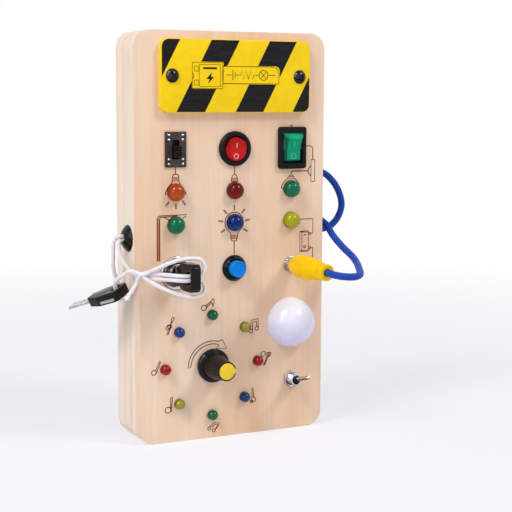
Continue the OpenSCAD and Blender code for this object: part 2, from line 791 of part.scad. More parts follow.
// The block that cuts the sloping end of the square rocker off, for the end on the +y side
module end_cut() {
    from_y = square_swing_r - 2.1;
    from_z = square_valley + from_y * tan(rocker_half_throw);
    rotate([90, 0, 90]) translate([0, 0, -square_button_w]) linear_extrude(2 * square_button_w)
        polygon([[square_swing_r, 0], [from_y, from_z], [from_y, from_z + 4], [square_swing_r + 4, 0]]);
}

// Pivot pins along x
module rocker_pins(half_l) {
    rotate([0, 90, 0]) cylinder(r = rocker_pin_r, h = 2 * half_l, center = true);
}

module round_rocker_housing() {
    open_r = round_ball_r + 0.2;
    bezel_round = 0.8;
    color("black") at_face(0, switch_z) difference() {
        union() {
            rod(round_bezel_r, 0, bezel_t - bezel_round);
            translate([0, 0, bezel_t - bezel_round])
                cylinder(r1 = round_bezel_r, r2 = round_bezel_r - bezel_round, h = bezel_round);
            rod(round_body_r, -rocker_depth, 0);
        }
        rod(open_r, -rocker_depth + rocker_floor, bezel_t + through);
        translate([0, 0, rocker_pivot_out]) rotate([0, 90, 0])
            cylinder(r = rocker_pin_r + rocker_pin_clear, h = 2 * round_body_r - 0.4, center = true);
    }
}

module round_rocker_button() {
    color("firebrick") at_face(0, switch_z) translate([0, 0, rocker_pivot_out])
        rotate([rocker_half_throw, 0, 0]) union() {
            intersection() {
                sphere(r = round_ball_r);
                rod(round_button_r, -round_ball_r, round_ball_r);
                rocker_wedge(round_ball_r + 1, round_valley, 2 * round_ball_r + 2);
            }
            rocker_pins(round_body_r - 0.4);
        }
}

module square_rocker_housing() {
    bezel_corner = 1.4;
    color("black") at_face(column_x, switch_z) difference() {
        union() {
            rounded_slab(square_bezel_w, square_bezel_h, bezel_t, bezel_corner);
            block(square_body_w, square_body_h, -rocker_depth, 0);
        }
        block(square_open_w, square_open_h, -rocker_depth + rocker_floor - 0.8, bezel_t + through);
        translate([0, 0, rocker_pivot_out]) rotate([0, 90, 0])
            cylinder(r = rocker_pin_r + rocker_pin_clear, h = square_body_w - 0.6, center = true);
    }
}

module square_rocker_button() {
    color("green") at_face(column_x, switch_z) translate([0, 0, rocker_pivot_out])
        rotate([rocker_half_throw, 0, 0]) union() {
            difference() {
                intersection() {
                    rotate([0, 90, 0])
                        cylinder(r = square_swing_r, h = square_button_w, center = true);
                    rocker_wedge(square_swing_r + 1, square_valley, square_button_w + 2);
                    union() {
                        bevelled_face();
                        mirror([0, 1, 0]) bevelled_face();
                    }
                }
                end_cut();
                mirror([0, 1, 0]) end_cut();
            }
            rocker_pins(square_body_w / 2 - 0.6);
        }
}

// ---- Lamps ----

// A lens with a rim behind the panel, a straight body and a round end
module lens(x, z, r, out) {
    at_face(x, z) {
        rod(r + lens_rim_w, -panel_t, -panel_t + lens_rim_t);
        rod(r, -panel_t, out);
        translate([0, 0, out]) sphere(r = r);
    }
}

module large_lens(i) {
    lens(large_lamps[i][0], large_lamps[i][1], lamp_r, lamp_out);
}

module ring_lens_pair(i) {
    for (q = [ring_lamps[i], ring_lamps[i + ring_steps / 2]])
        lens(q[0], q[1], ring_lamp_r, ring_lamp_out);
}

module amber_led() { color("orange") large_lens(0); }
module red_led() { color("darkred") large_lens(1); }
module blue_led() { color("blue") large_lens(4); }
module green_leds() { color("green") for (i = [2, 3]) large_lens(i); }
module lime_led() { color("yellowgreen") large_lens(5); }
module ring_leds_green() { color("green") ring_lens_pair(0); }
module ring_leds_red() { color("darkred") ring_lens_pair(2); }
module ring_leds_lime() {
    color("yellowgreen") for (i = [1, 5])
        lens(ring_lamps[i][0], ring_lamps[i][1], ring_lamp_r, ring_lamp_out);
}
module ring_leds_blue() {
    color("blue") for (i = [3, 7])
        lens(ring_lamps[i][0], ring_lamps[i][1], ring_lamp_r, ring_lamp_out);
}

// A hollow white dome whose neck passes through the panel
module lamp_dome() {
    color("lavender") at_face(column_x, dome_z) difference() {
        union() {
            intersection() {
                sphere(r = dome_r);
                rod(dome_r + 1, 0, dome_r + 1);
            }
            rod(dome_neck_r, -panel_t, 0);
        }
        intersection() {
            sphere(r = dome_r - dome_wall);
            rod(dome_r, dome_wall, dome_r);
        }
        rod(dome_neck_r - dome_wall, -panel_t - through, 2 * dome_wall);
    }
}

// ---- Push button ----

button_chamber_floor = -button_cap_in - button_travel - 3.5;
spring_r = 3.2;
spring_wire_r = 0.3;
spring_turns = 5;
spring_sides = 6;
spring_steps_per_turn = 14;

module button_housing() {
    foot = 0.6;
    color("black") at_face(0, button_z) difference() {
        union() {
            rod(button_bezel_r, 0, foot);
            translate([0, 0, foot])
                cylinder(r1 = button_bezel_r, r2 = button_cap_r + 1.1, h = button_bezel_t - foot);
            rod(button_barrel_r, pcb_out, 0);
        }
        rod(button_cap_r + fit, button_chamber_floor, button_bezel_t + through);
    }
}

module button_cap() {
    chamfer = 0.6;
    color("dodgerblue") at_face(0, button_z) {
        rod(button_cap_r, -button_cap_in, button_cap_out - chamfer);
        translate([0, 0, button_cap_out - chamfer])
            cylinder(r1 = button_cap_r, r2 = button_cap_r - chamfer, h = chamfer);
    }
}

module button_spring() {
    low = button_chamber_floor + spring_wire_r;
    high = -button_cap_in - spring_wire_r;
    steps = spring_turns * spring_steps_per_turn;
    coil = [for (i = [0:steps]) let (a = 360 * i / spring_steps_per_turn)
        [spring_r * cos(a), spring_r * sin(a), low + (high - low) * i / steps]];
    color("silver") at_face(0, button_z) cord_tube(coil, even(coil, spring_wire_r), spring_sides);
}

// ---- Key lock and keys ----

lock_depth = 14;
lock_floor_t = 1.5;
lock_core_in = -lock_depth + lock_floor_t;

module lock_housing() {
    bezel_round = 0.6;
    mouth_r = 6.8;
    mouth_depth = 1.8;
    color("silver") at_face(-column_x, lock_z) difference() {
        union() {
            rod(lock_bezel_r, 0, lock_bezel_t - bezel_round);
            translate([0, 0, lock_bezel_t - bezel_round])
                cylinder(r1 = lock_bezel_r, r2 = lock_bezel_r - bezel_round, h = bezel_round);
            rod(lock_barrel_r, -lock_depth, 0);
        }
        rod(lock_core_r + fit, lock_core_in - fit, lock_bezel_t + through);
        translate([0, 0, lock_bezel_t - mouth_depth])
            cylinder(r1 = lock_core_r + fit, r2 = mouth_r, h = mouth_depth + 0.01);
    }
}

module lock_cylinder() {
    way_w = key_blade_t + 2 * keyway_clear;
    way_h = key_blade_h + 2 * keyway_clear;
    blade_end = key_shoulder_out - key_blade_l;
    color("silver") at_face(-column_x, lock_z) difference() {
        rod(lock_core_r, lock_core_in, lock_face_out);
        block(way_w, way_h, blade_end - keyway_clear, lock_face_out + through);
    }
}

// A key lies along y: its blade points to +y and its shoulder is at the origin
module key_blade_shape() {
    tang = 3;
    difference() {
        translate([-key_blade_t / 2, -tang, -key_blade_h / 2])
            cube([key_blade_t, key_blade_l + tang, key_blade_h]);
        for (i = [0:3], s = [-1, 1])
            translate([0, 3.2 + 2.4 * i, s * (key_blade_h / 2 + 0.2)]) rotate([45, 0, 0])
                cube([key_blade_t + through, 1.4, 1.4], center = true);
    }
}

module key_head_shape() {
    neck = 3.2;
    back = -key_head_l;
    chamfer = 1.6;
    outline = [
        [0, neck], [-1.5, neck + 0.3], [-6.5, key_head_half - 0.5], [-8.5, key_head_half],
        [back + chamfer, key_head_half], [back, key_head_half - chamfer],
        [back, -key_head_half + chamfer], [back + chamfer, -key_head_half],
        [-8.5, -key_head_half], [-6.5, -key_head_half + 0.5], [-1.5, -neck - 0.3], [0, -neck]
    ];
    difference() {
        rotate([90, 0, 90]) translate([0, 0, -key_head_t / 2]) linear_extrude(key_head_t)
            polygon(outline);
        translate([0, -key_slot_back, 0]) rotate([0, 90, 0]) {
            for (s = [-1, 1]) translate([s * key_slot_half, 0, 0])
                cylinder(r = key_slot_r, h = key_head_t + 2 * through, center = true);
            cube([2 * key_slot_half, 2 * key_slot_r, key_head_t + 2 * through], center = true);
        }
    }
}

module main_key_place() {
    translate([-column_x, key_shoulder_y, lock_z]) children();
}

module spare_key_place() {
    translate(spare_key_end) rotate(spare_key_turn) translate([0, key_head_l, 0]) children();
}

module key_blade() { color("silver") main_key_place() key_blade_shape(); }
module key_head() { color("black") main_key_place() key_head_shape(); }
module spare_key_blade() { color("silver") spare_key_place() key_blade_shape(); }
module spare_key_head() { color("black") spare_key_place() key_head_shape(); }

// ---- Jack and plug ----

module jack_socket() {
    color("silver") at_face(column_x, plug_axis_z) difference() {
        union() {
            rod(jack_ring_r, 0, jack_ring_t);
            rod(jack_body_r, pcb_out, 0);
        }
        rod(plug_pin_r + fit, plug_face_out - plug_pin_l - 1, jack_ring_t + through);
    }
}

module plug_tip() {
    point_l = 1.6;
    waist_l = 0.6;
    root_out = grip_face_out + 8;
    color("silver") at_face(column_x, plug_axis_z) {
        rod(plug_pin_r, plug_face_out - plug_pin_l + point_l, root_out);
        translate([0, 0, plug_face_out - plug_pin_l])
            cylinder(r1 = 0.5, r2 = plug_pin_r - 0.2, h = point_l - waist_l);
        rod(plug_pin_r - 0.5, plug_face_out - plug_pin_l + point_l - waist_l,
            plug_face_out - plug_pin_l + point_l);
        rod(plug_sleeve_r, plug_face_out, grip_face_out);
    }
}

// A turned grip that swells, tapers over shallow grooves and ends in a collar
module plug_grip() {
    swell_l = 7.5;
    belly_l = 6.5;
    groove_pitch = 1.7;
    groove = 0.45;
    tail = plug_grip_l;
    tail_r = plug_collar_r + 0.4;
    tip_hole_l = 8;
    taper_l = tail - swell_l - belly_l;
    groove_from = tail - grip_grooves * groove_pitch - 0.5;
    function grip_r(s) = plug_grip_r - (plug_grip_r - tail_r) * (s - swell_l - belly_l) / taper_l;
    grooves = [for (i = [0:grip_grooves - 1], k = [0:2])
        let (s = groove_from + (i + k / 3) * groove_pitch)
            [grip_r(s) - (k == 1 ? groove : 0), s]];
    profile = concat(
        [[0, 0], [plug_front_r - 0.6, 0], [plug_front_r, 0.8], [(plug_front_r + plug_grip_r) / 2 + 0.1, 4],
            [plug_grip_r, swell_l], [plug_grip_r, swell_l + belly_l]],
        grooves,
        [[tail_r, tail], [plug_collar_r, tail + 0.8], [plug_collar_r, tail + plug_collar_l - 0.8],
            [plug_collar_r - 0.8, tail + plug_collar_l], [0, tail + plug_collar_l]]);
    color("gold") at_face(column_x, plug_axis_z) translate([0, 0, grip_face_out]) difference() {
        rotate_extrude() polygon(profile);
        rod(plug_pin_r, -through, tip_hole_l);
        rod(cable_r + cable_clear, tail + plug_collar_l - plug_hole_l, tail + plug_collar_l + through);
    }
}

module cable_lead() {
    color("blue") cord_tube(cable_lead_route, even(cable_lead_route, cable_r));
}

module cable() {
    color("blue") cord_tube(cable_route, even(cable_route, cable_r));
}

// ---- Grommets and lanyard ----

// A domed grommet in a side wall with a blind hole; side is -1 for left and 1 for right
module grommet(side, hole_r, hole_end_x) {
    ball_r = (grommet_r * grommet_r + grommet_out * grommet_out) / (2 * grommet_out);
    barrel_l = wall_w - 0.5;
    hole_l = board_w / 2 - hole_end_x;
    translate([side * board_w / 2, side_hole_y, side_hole_z]) rotate([0, side * 90, 0]) difference() {
        union() {
            intersection() {
                translate([0, 0, grommet_out - ball_r]) sphere(r = ball_r);
                rod(grommet_r + 1, 0, grommet_out + 1);
            }
            rod(grommet_barrel_r, -barrel_l, 0);
        }
        rod(hole_r, -hole_l, grommet_out + through);
    }
}

module lanyard_grommet() { color("black") grommet(-1, lanyard_hole_r, -lanyard_route[0][0]); }
module cable_grommet() { color("black") grommet(1, cable_r + cable_clear, cable_route[0][0]); }

module lanyard() { color("white") cord_tube(lanyard_route, even(lanyard_route, lanyard_r)); }
module lanyard_tail() {
    color("white") cord_tube(lanyard_tail_route, lanyard_tail_radii * lanyard_r);
}
module lanyard_side() {
    color("white") cord_tube(lanyard_side_route, even(lanyard_side_route, lanyard_r));
}
module key_loop_upper() {
    color("white") cord_tube(key_loop_upper_route, even(key_loop_upper_route, lanyard_r));
}
module key_loop_lower() {
    color("white") cord_tube(key_loop_lower_route, even(key_loop_lower_route, lanyard_r));
}

// One turn of cord bound round the crossing strands
module lanyard_hitch() {
    color("white") translate(hitch_place) rotate([0, 90, -hitch_turn]) {
        cylinder(r = hitch_core_r, h = hitch_core_t, center = true);
        rotate_extrude() translate([hitch_core_r + 0.2, 0]) circle(r = lanyard_r);
    }
}

// ---- Toggle switch ----

toggle_pivot_out = 4;
toggle_bore_r = 2.25;
toggle_pin_r = 0.6;
toggle_body_w = 8;
toggle_body_h = 13;

module toggle_housing() {
    color("silver") at_face(toggle_x, toggle_z) difference() {
        union() {
            rod(toggle_bush_r, -panel_t, toggle_bush_out);
            block(toggle_body_w, toggle_body_h, pcb_out, -panel_t);
        }
        rod(toggle_bore_r, -panel_t / 2, toggle_bush_out + through);
        translate([0, 0, toggle_pivot_out]) rotate([0, 90, 0])
            cylinder(r = toggle_pin_r + fit, h = 2 * toggle_bush_r + through, center = true);
    }
}

module toggle_nut() {
    color("silver") at_face(toggle_x, toggle_z)
        hex_nut(toggle_nut_af, toggle_bush_r, 0, toggle_nut_t);
}

module toggle_lever() {
    root_r = 1;
    tip_r = 1.35;
    ball_r = toggle_bore_r - 0.1;
    tail_l = 3.4;
    color("silver") at_face(toggle_x, toggle_z) translate([0, 0, toggle_pivot_out])
        rotate([-toggle_half_throw, 0, 0]) {
            sphere(r = ball_r);
            cylinder(r1 = root_r, r2 = tip_r, h = toggle_lever_l - tip_r);
            translate([0, 0, toggle_lever_l - tip_r]) sphere(r = tip_r);
            rod(root_r, -tail_l, 0);
            rotate([0, 90, 0]) cylinder(r = toggle_pin_r, h = 2 * toggle_bush_r - 0.2, center = true);
        }
}

// ---- Rotary selector ----

knob_lift = 0.8;
knob_cavity_r = 7;
knob_cavity_out = 2.6;
shaft_in = -panel_t - 3;
shaft_out = knob_out - 3;
selector_body_w = 15;

module selector_switch() {
    color("gray") at_face(selector_x, selector_z) difference() {
        union() {
            rod(bushing_r, -panel_t, 2);
            block(selector_body_w, selector_body_w, pcb_out, -panel_t);
        }
        rod(shaft_r + fit, shaft_in - fit, 2 + through);
    }
}

module selector_shaft() {
    color("silver") at_face(selector_x, selector_z) rod(shaft_r, shaft_in, shaft_out);
}

module knob_body() {
    flutes = 18;
    flute_r = 0.55;
    lean = atan((knob_foot_r - knob_top_r) / (knob_out - skirt_t - knob_lift));
    color("black") at_face(selector_x, selector_z) difference() {
        union() {
            rod(skirt_r, knob_lift, knob_lift + skirt_t - 0.8);
            translate([0, 0, knob_lift + skirt_t - 0.8])
                cylinder(r1 = skirt_r, r2 = skirt_r - 0.8, h = 0.8);
            translate([0, 0, knob_lift + skirt_t])
                cylinder(r1 = knob_foot_r, r2 = knob_top_r, h = knob_out - skirt_t - knob_lift);
        }
        rod(knob_cavity_r, knob_lift - through, knob_cavity_out);
        rod(shaft_r, knob_cavity_out - through, shaft_out);
        for (i = [0:flutes - 1]) rotate([0, 0, 360 / flutes * i])
            translate([knob_foot_r + flute_r * 0.45, 0, knob_lift + skirt_t + 0.6]) rotate([0, -lean, 0])
                cylinder(r = flute_r, h = knob_out);
    }
}

// A coloured disc with a pointer that shows the chosen lamp
module knob_cap() {
    cap_t = 0.6;
    tip = knob_cap_r + 1.3;
    half = 2;
    color("gold") at_face(selector_x, selector_z) translate([0, 0, knob_out]) {
        cylinder(r = knob_cap_r, h = cap_t);
        linear_extrude(cap_t) polygon([[0, -half], [knob_cap_r - 0.8, -half], [tip, 0],
            [knob_cap_r - 0.8, half], [0, half]]);
    }
}

// ---- Assembly ----

front_panel();
front_frame();
middle_frame();
rear_frame();
back_cover();
back_cover_screws();
sign_plate();
sign_screws();
battery_box();
batteries();
battery_door();
battery_door_screw();
circuit_board();
contacts_and_leads();
panel_nuts();
slide_switch_housing();
slide_switch_slider();
round_rocker_housing();
round_rocker_button();
square_rocker_housing();
square_rocker_button();
amber_led();
red_led();
blue_led();
green_leds();
lime_led();
ring_leds_green();
ring_leds_lime();
ring_leds_red();
ring_leds_blue();
lamp_dome();
button_housing();
button_cap();
button_spring();
lock_housing();
lock_cylinder();
key_blade();
key_head();
jack_socket();
plug_tip();
plug_grip();
cable_lead();
cable();
cable_grommet();
toggle_housing();
toggle_nut();
toggle_lever();
selector_switch();
selector_shaft();
knob_body();
knob_cap();
lanyard_grommet();
lanyard();
lanyard_tail();
lanyard_side();
lanyard_hitch();
key_loop_upper();
key_loop_lower();
spare_key_head();
spare_key_blade();
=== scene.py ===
"""Wooden busy board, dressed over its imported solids.

Lengths in the classes are millimetres in the part's own frame: +Z is up, the front faces
-Y and the origin is the middle of the base. Meshes are written in metres.
"""

import json
import logging
import math
from collections.abc import Callable, Iterable, Sequence
from dataclasses import dataclass, field
from enum import Enum

import bmesh
import bpy
from mathutils import Euler, Matrix, Vector

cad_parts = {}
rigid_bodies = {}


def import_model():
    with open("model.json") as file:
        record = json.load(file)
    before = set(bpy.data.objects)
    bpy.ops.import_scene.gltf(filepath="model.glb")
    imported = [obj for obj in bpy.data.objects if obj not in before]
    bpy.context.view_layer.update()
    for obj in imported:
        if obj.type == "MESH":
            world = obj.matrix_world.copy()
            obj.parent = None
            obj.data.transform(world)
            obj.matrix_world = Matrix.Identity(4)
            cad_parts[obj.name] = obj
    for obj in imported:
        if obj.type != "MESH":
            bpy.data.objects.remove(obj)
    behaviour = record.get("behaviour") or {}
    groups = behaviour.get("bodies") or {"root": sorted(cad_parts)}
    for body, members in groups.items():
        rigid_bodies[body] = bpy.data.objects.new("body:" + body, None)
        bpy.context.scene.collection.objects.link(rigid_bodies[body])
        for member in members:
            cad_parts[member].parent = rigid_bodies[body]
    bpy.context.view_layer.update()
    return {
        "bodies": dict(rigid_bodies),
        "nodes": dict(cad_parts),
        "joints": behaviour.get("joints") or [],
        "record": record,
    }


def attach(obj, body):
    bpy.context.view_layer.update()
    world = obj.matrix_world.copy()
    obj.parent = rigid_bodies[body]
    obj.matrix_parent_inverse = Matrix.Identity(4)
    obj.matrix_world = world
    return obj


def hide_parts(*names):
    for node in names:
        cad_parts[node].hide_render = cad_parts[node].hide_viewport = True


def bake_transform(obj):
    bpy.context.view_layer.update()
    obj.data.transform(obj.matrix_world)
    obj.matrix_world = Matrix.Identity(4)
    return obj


LOG = logging.getLogger("busy_board")
MM = 0.001
FACE_Y = -15.0
BOARD_W = 100.0
BOARD_H = 200.0
COLUMN_X = 31.5
SWITCH_Z = 143.5
UPPER_LAMP_Z = 123.0
LOWER_LAMP_Z = 107.2
SIDE_HOLE_Y = 0.5
SIDE_HOLE_Z = 100.0
KEY_HEAD = 19.0  # length of a key's head
KEY_HALF = 6.6  # half of its width
SELECTOR_AT = (-12.0, 36.8)
SUNK = 0.02  # how deep paint and marks reach into what they lie on

Rgb = tuple[float, float, float]
Flat = tuple[float, float]
Place = tuple[float, float, float]
Mesh = bmesh.types.BMesh
Piece = bpy.types.Object
Socket = bpy.types.NodeSocket
Sockets = bpy.types.NodeOutputs
FRAME: dict = {}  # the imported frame, which main loads


class Body(Enum):
    """The moving bodies of the part."""

    CASE = "case"
    SLIDER = "slider"
    ROUND_ROCKER = "round_rocker"
    SQUARE_ROCKER = "square_rocker"
    BUTTON = "button"
    TOGGLE = "toggle"
    LOCK = "lock_cylinder"
    KEY = "key"
    SELECTOR = "selector"
    PLUG = "plug"
    DOOR = "battery_door"


# ---- Shader helpers ----


def srgb(red: float, green: float, blue: float) -> tuple[float, float, float, float]:
    """Turns a display colour of 0 to 255 a channel into a linear colour with full alpha.

    Args:
        red: Red channel.
        green: Green channel.
        blue: Blue channel.

    Returns:
        Four linear numbers for a colour socket.
    """

    def channel(value: float) -> float:
        """Linear value of one channel."""
        share = value / 255
        return share / 12.92 if share <= 0.04045 else ((share + 0.055) / 1.055) ** 2.4

    return channel(red), channel(green), channel(blue), 1.0


class Sheet:
    """Writes nodes and links into one node tree."""

    def __init__(self, tree: bpy.types.NodeTree) -> None:
        """Keeps the tree that the nodes go into."""
        self.tree = tree

    @classmethod
    def fresh(cls, owner: bpy.types.Material | bpy.types.World) -> "Sheet":
        """Empties the node tree of a material or a world.

        Args:
            owner: The material or the world.

        Returns:
            A sheet that writes into its tree.
        """
        owner.use_nodes = True
        owner.node_tree.nodes.clear()
        return cls(owner.node_tree)

    def add(self, kind: str, sockets: dict | None = None, **settings: object) -> bpy.types.Node:
        """Adds one node.

        Args:
            kind: Node type without its ShaderNode prefix.
            sockets: Input values by socket name or number; an output socket is linked.
            **settings: Attributes of the node itself.

        Returns:
            The new node.
        """
        node = self.tree.nodes.new(kind if kind.startswith("Node") else f"ShaderNode{kind}")
        for name, value in settings.items():
            setattr(node, name, value)
        for name, value in (sockets or {}).items():
            if isinstance(value, Socket):
                self.tree.links.new(value, node.inputs[name])
            else:
                node.inputs[name].default_value = value
        return node

    def object_point(self) -> Socket:
        """Object coordinates of the shaded point, in metres."""
        return self.add("TexCoord").outputs["Object"]

    def normal(self) -> Sockets:
        """The three parts of the surface's direction."""
        return self.add("SeparateXYZ", {0: self.add("NewGeometry").outputs["Normal"]}).outputs

    def noise(self, point: Socket, scale: Place, detail: float) -> Socket:
        """Noise on coordinates stretched by a scale for each axis."""
        spread = self.add("Mapping", {"Vector": point, "Scale": scale}).outputs[0]
        return self.add("TexNoise", {"Vector": spread, "Scale": 1.0, "Detail": detail}).outputs["Fac"]

    def span(
        self, value: Socket, low: float, high: float, to_low: float = 0.0, to_high: float = 1.0
    ) -> Socket:
        """Maps a value from one range to another, smoothly and clamped."""
        limits = {"Value": value, "From Min": low, "From Max": high, "To Min": to_low, "To Max": to_high}
        return self.add("MapRange", limits, interpolation_type="SMOOTHSTEP").outputs[0]

    def sums(self, operation: str, first: object, second: object = 0.0) -> Socket:
        """One arithmetic step on two values."""
        return self.add("Math", {0: first, 1: second}, operation=operation).outputs[0]

    def vectors(self, operation: str, first: object, second: object, output: str = "Vector") -> Socket:
        """One step on two vectors."""
        return self.add("VectorMath", {0: first, 1: second}, operation=operation).outputs[output]

    def blend(self, share: object, first: object, second: object) -> Socket:
        """Mixes two colours by a share."""
        return self.add("Mix", {0: share, 6: first, 7: second}, data_type="RGBA").outputs[2]

    def relief(self, height: Socket, strength: float, depth: float) -> Socket:
        """Direction of a surface with bumps of a strength, 0 to 1, and a depth in metres."""
        return self.add("Bump", {"Height": height, "Strength": strength, "Distance": depth}).outputs[0]

    def mottle(self, stretch: Place = (1.0, 1.0, 1.0)) -> Sockets:
        """Mask and height of fine unevenness at the shaded point."""
        return MOTTLE.place(self, {"Point": self.object_point(), "Stretch": stretch})

    def seen(self) -> Socket:
        """Tells rays that look at the surroundings from rays that light the object.

        Returns:
            An output of 1 for the former and 0 for the latter.
        """
        rays = self.add("LightPath").outputs
        straight = self.sums("MAXIMUM", rays["Is Camera Ray"], rays["Is Glossy Ray"])
        return self.sums("MAXIMUM", straight, rays["Is Transmission Ray"])


@dataclass(frozen=True)
class Effect:
    """An effect that several materials share, built once as a node group.

    Inputs and outputs are socket types by label, and wire writes the nodes between them.
    """

    name: str
    inputs: dict[str, str]
    outputs: dict[str, str]
    wire: Callable[[Sheet, Sockets], dict[str, Socket]]

    def group(self) -> bpy.types.NodeTree:
        """The node group, built at its first use.

        Returns:
            The group's tree.
        """
        found = bpy.data.node_groups.get(self.name)
        if found:
            return found
        tree = bpy.data.node_groups.new(self.name, "ShaderNodeTree")
        for way, sockets in (("INPUT", self.inputs), ("OUTPUT", self.outputs)):
            for label, kind in sockets.items():
                tree.interface.new_socket(label, in_out=way, socket_type=f"NodeSocket{kind}")
        sheet = Sheet(tree)
        given = sheet.add("NodeGroupInput").outputs
        sheet.add("NodeGroupOutput", self.wire(sheet, given))
        return tree

    def place(self, sheet: Sheet, sockets: dict[str, object]) -> Sockets:
        """Puts the group into a material with its own values and gives its outputs."""
        return sheet.add("Group", sockets, node_tree=self.group()).outputs


def wire_grain(sheet: Sheet, given: Sockets) -> dict[str, Socket]:
    """Wires upright wood grain: soft broad streaks, thin fibres and pores.

    Args:
        sheet: Writer of the group's tree.
        given: Sockets of the group's inputs.

    Returns:
        The grain's colour and its height.
    """
    drift = sheet.noise(given["Point"], (14, 14, 6), 2)
    wander = sheet.add("VectorMath", {0: (0.011, 0.011, 0.0), 3: drift}, operation="SCALE").outputs[0]
    point = sheet.vectors("ADD", given["Point"], wander)
    streaks = sheet.span(sheet.noise(point, (70, 70, 3.6), 3), 0.3, 0.72)
    clouds = sheet.span(sheet.noise(given["Point"], (19, 19, 12), 2), 0.34, 0.7)
    warm = sheet.sums("MULTIPLY", sheet.sums("ADD", streaks, clouds), 0.5)
    ground = sheet.blend(warm, given["Pale"], given["Warm"])
    fibres = sheet.noise(point, (860, 860, 22), 4)
    pores = sheet.span(sheet.noise(point, (2100, 2100, 90), 2), 0.6, 0.76)
    marks = sheet.sums("MAXIMUM", sheet.span(fibres, 0.42, 0.8), sheet.sums("MULTIPLY", pores, 0.8))
    share = sheet.sums("MULTIPLY", marks, given["Fibre amount"])
    return {
        "Color": sheet.blend(share, ground, given["Fibre"]),
        "Height": sheet.sums("SUBTRACT", fibres, sheet.sums("MULTIPLY", pores, 0.7)),
    }


def wire_mottle(sheet: Sheet, given: Sockets) -> dict[str, Socket]:
    """Wires the fine unevenness of moulded, cast or brushed surfaces.

    Args:
        sheet: Writer of the group's tree.
        given: Sockets of the group's inputs.

    Returns:
        A broad mask and a fine height.
    """
    point = sheet.vectors("MULTIPLY", given["Point"], given["Stretch"])
    return {
        "Mask": sheet.span(sheet.noise(point, (240, 240, 240), 3), 0.35, 0.65),
        "Height": sheet.noise(point, (2600, 2600, 2600), 2),
    }


def wire_braid(sheet: Sheet, given: Sockets) -> dict[str, Socket]:
    """Wires crossing strands over a cord's own map, whose second number counts millimetres.

    Args:
        sheet: Writer of the group's tree.
        given: Sockets of the group's inputs.

    Returns:
        A mask of the strands' tops.
    """
    parts = sheet.add("SeparateXYZ", {0: given["Map"]}).outputs
    turn = sheet.sums("MULTIPLY", sheet.sums("MULTIPLY", parts[0], given["Strands"]), math.tau)
    along = sheet.sums("MULTIPLY", sheet.sums("DIVIDE", parts[1], given["Pitch"]), math.tau)
    wave = sheet.sums("MULTIPLY", sheet.sums("COSINE", turn), sheet.sums("COSINE", along))
    return {"Tops": sheet.span(wave, -0.35, 0.55)}


GRAIN = Effect(
    "wood_grain",
    {"Point": "Vector", "Pale": "Color", "Warm": "Color", "Fibre": "Color", "Fibre amount": "Float"},
    {"Color": "Color", "Height": "Float"},
    wire_grain,
)
MOTTLE = Effect(
    "fine_mottle", {"Point": "Vector", "Stretch": "Vector"}, {"Mask": "Float", "Height": "Float"}, wire_mottle
)
STRANDS = Effect(
    "braid_strands", {"Map": "Vector", "Strands": "Float", "Pitch": "Float"}, {"Tops": "Float"}, wire_braid
)


# ---- Finishes ----


@dataclass(frozen=True)
class Finish:
    """A finish that makes its material once.

    Attributes:
        name: Name of the material.
        slot: Material slot of the record that it dresses.
    """

    name: str
    slot: str

    def material(self) -> bpy.types.Material:
        """The material, built at its first use.

        Returns:
            The material with its surface shader.
        """
        found = bpy.data.materials.get(self.name)
        if found:
            return found
        material = bpy.data.materials.new(self.name)
        sheet = Sheet.fresh(material)
        surface = sheet.add("BsdfPrincipled", self.look(sheet))
        sheet.add("OutputMaterial", {"Surface": surface.outputs[0]})
        return material

    def look(self, sheet: Sheet) -> dict[str, object]:
        """Values and links of the surface shader's sockets."""
        raise NotImplementedError


@dataclass(frozen=True)
class Wood(Finish):
    """Sanded pale wood with upright grain."""

    pale: Rgb
    warm: Rgb
    fibre: Rgb
    fibre_amount: float
    shift: Place = (0.0, 0.0, 0.0)

    def look(self, sheet: Sheet) -> dict[str, object]:
        """The grain's colour and its shallow relief.

        Args:
            sheet: Writer of the material's tree.

        Returns:
            Values and links by socket name.
        """
        point = sheet.add("Mapping", {"Vector": sheet.object_point(), "Location": self.shift}).outputs[0]
        colours = {"Pale": srgb(*self.pale), "Warm": srgb(*self.warm), "Fibre": srgb(*self.fibre)}
        grain = GRAIN.place(sheet, {"Point": point, "Fibre amount": self.fibre_amount, **colours})
        return {
            "Base Color": grain["Color"],
            "Roughness": sheet.span(grain["Height"], 0.2, 0.7, 0.66, 0.52),
            "Specular IOR Level": 0.2,
            "Normal": sheet.relief(grain["Height"], 0.25, 0.00012),
        }


@dataclass(frozen=True)
class Plastic(Finish):
    """Moulded or painted plastic with slight mottle and a fine surface."""

    colour: Rgb
    shade: Rgb
    gloss: Flat
    specular: float = 0.25
    coat: float = 0.0
    depth: float = 0.00001
    stretch: Place = (1.0, 1.0, 1.0)

    def look(self, sheet: Sheet) -> dict[str, object]:
        """A mottled colour, a roughness range and a fine grain.

        Args:
            sheet: Writer of the material's tree.

        Returns:
            Values and links by socket name.
        """
        mottle = sheet.mottle(self.stretch)
        return {
            "Base Color": sheet.blend(mottle["Mask"], srgb(*self.colour), srgb(*self.shade)),
            "Roughness": sheet.span(mottle["Mask"], 0.0, 1.0, *self.gloss),
            "Specular IOR Level": self.specular,
            "Coat Weight": self.coat,
            "Coat Roughness": 0.06,
            "Normal": sheet.relief(mottle["Height"], 0.3, self.depth),
        }


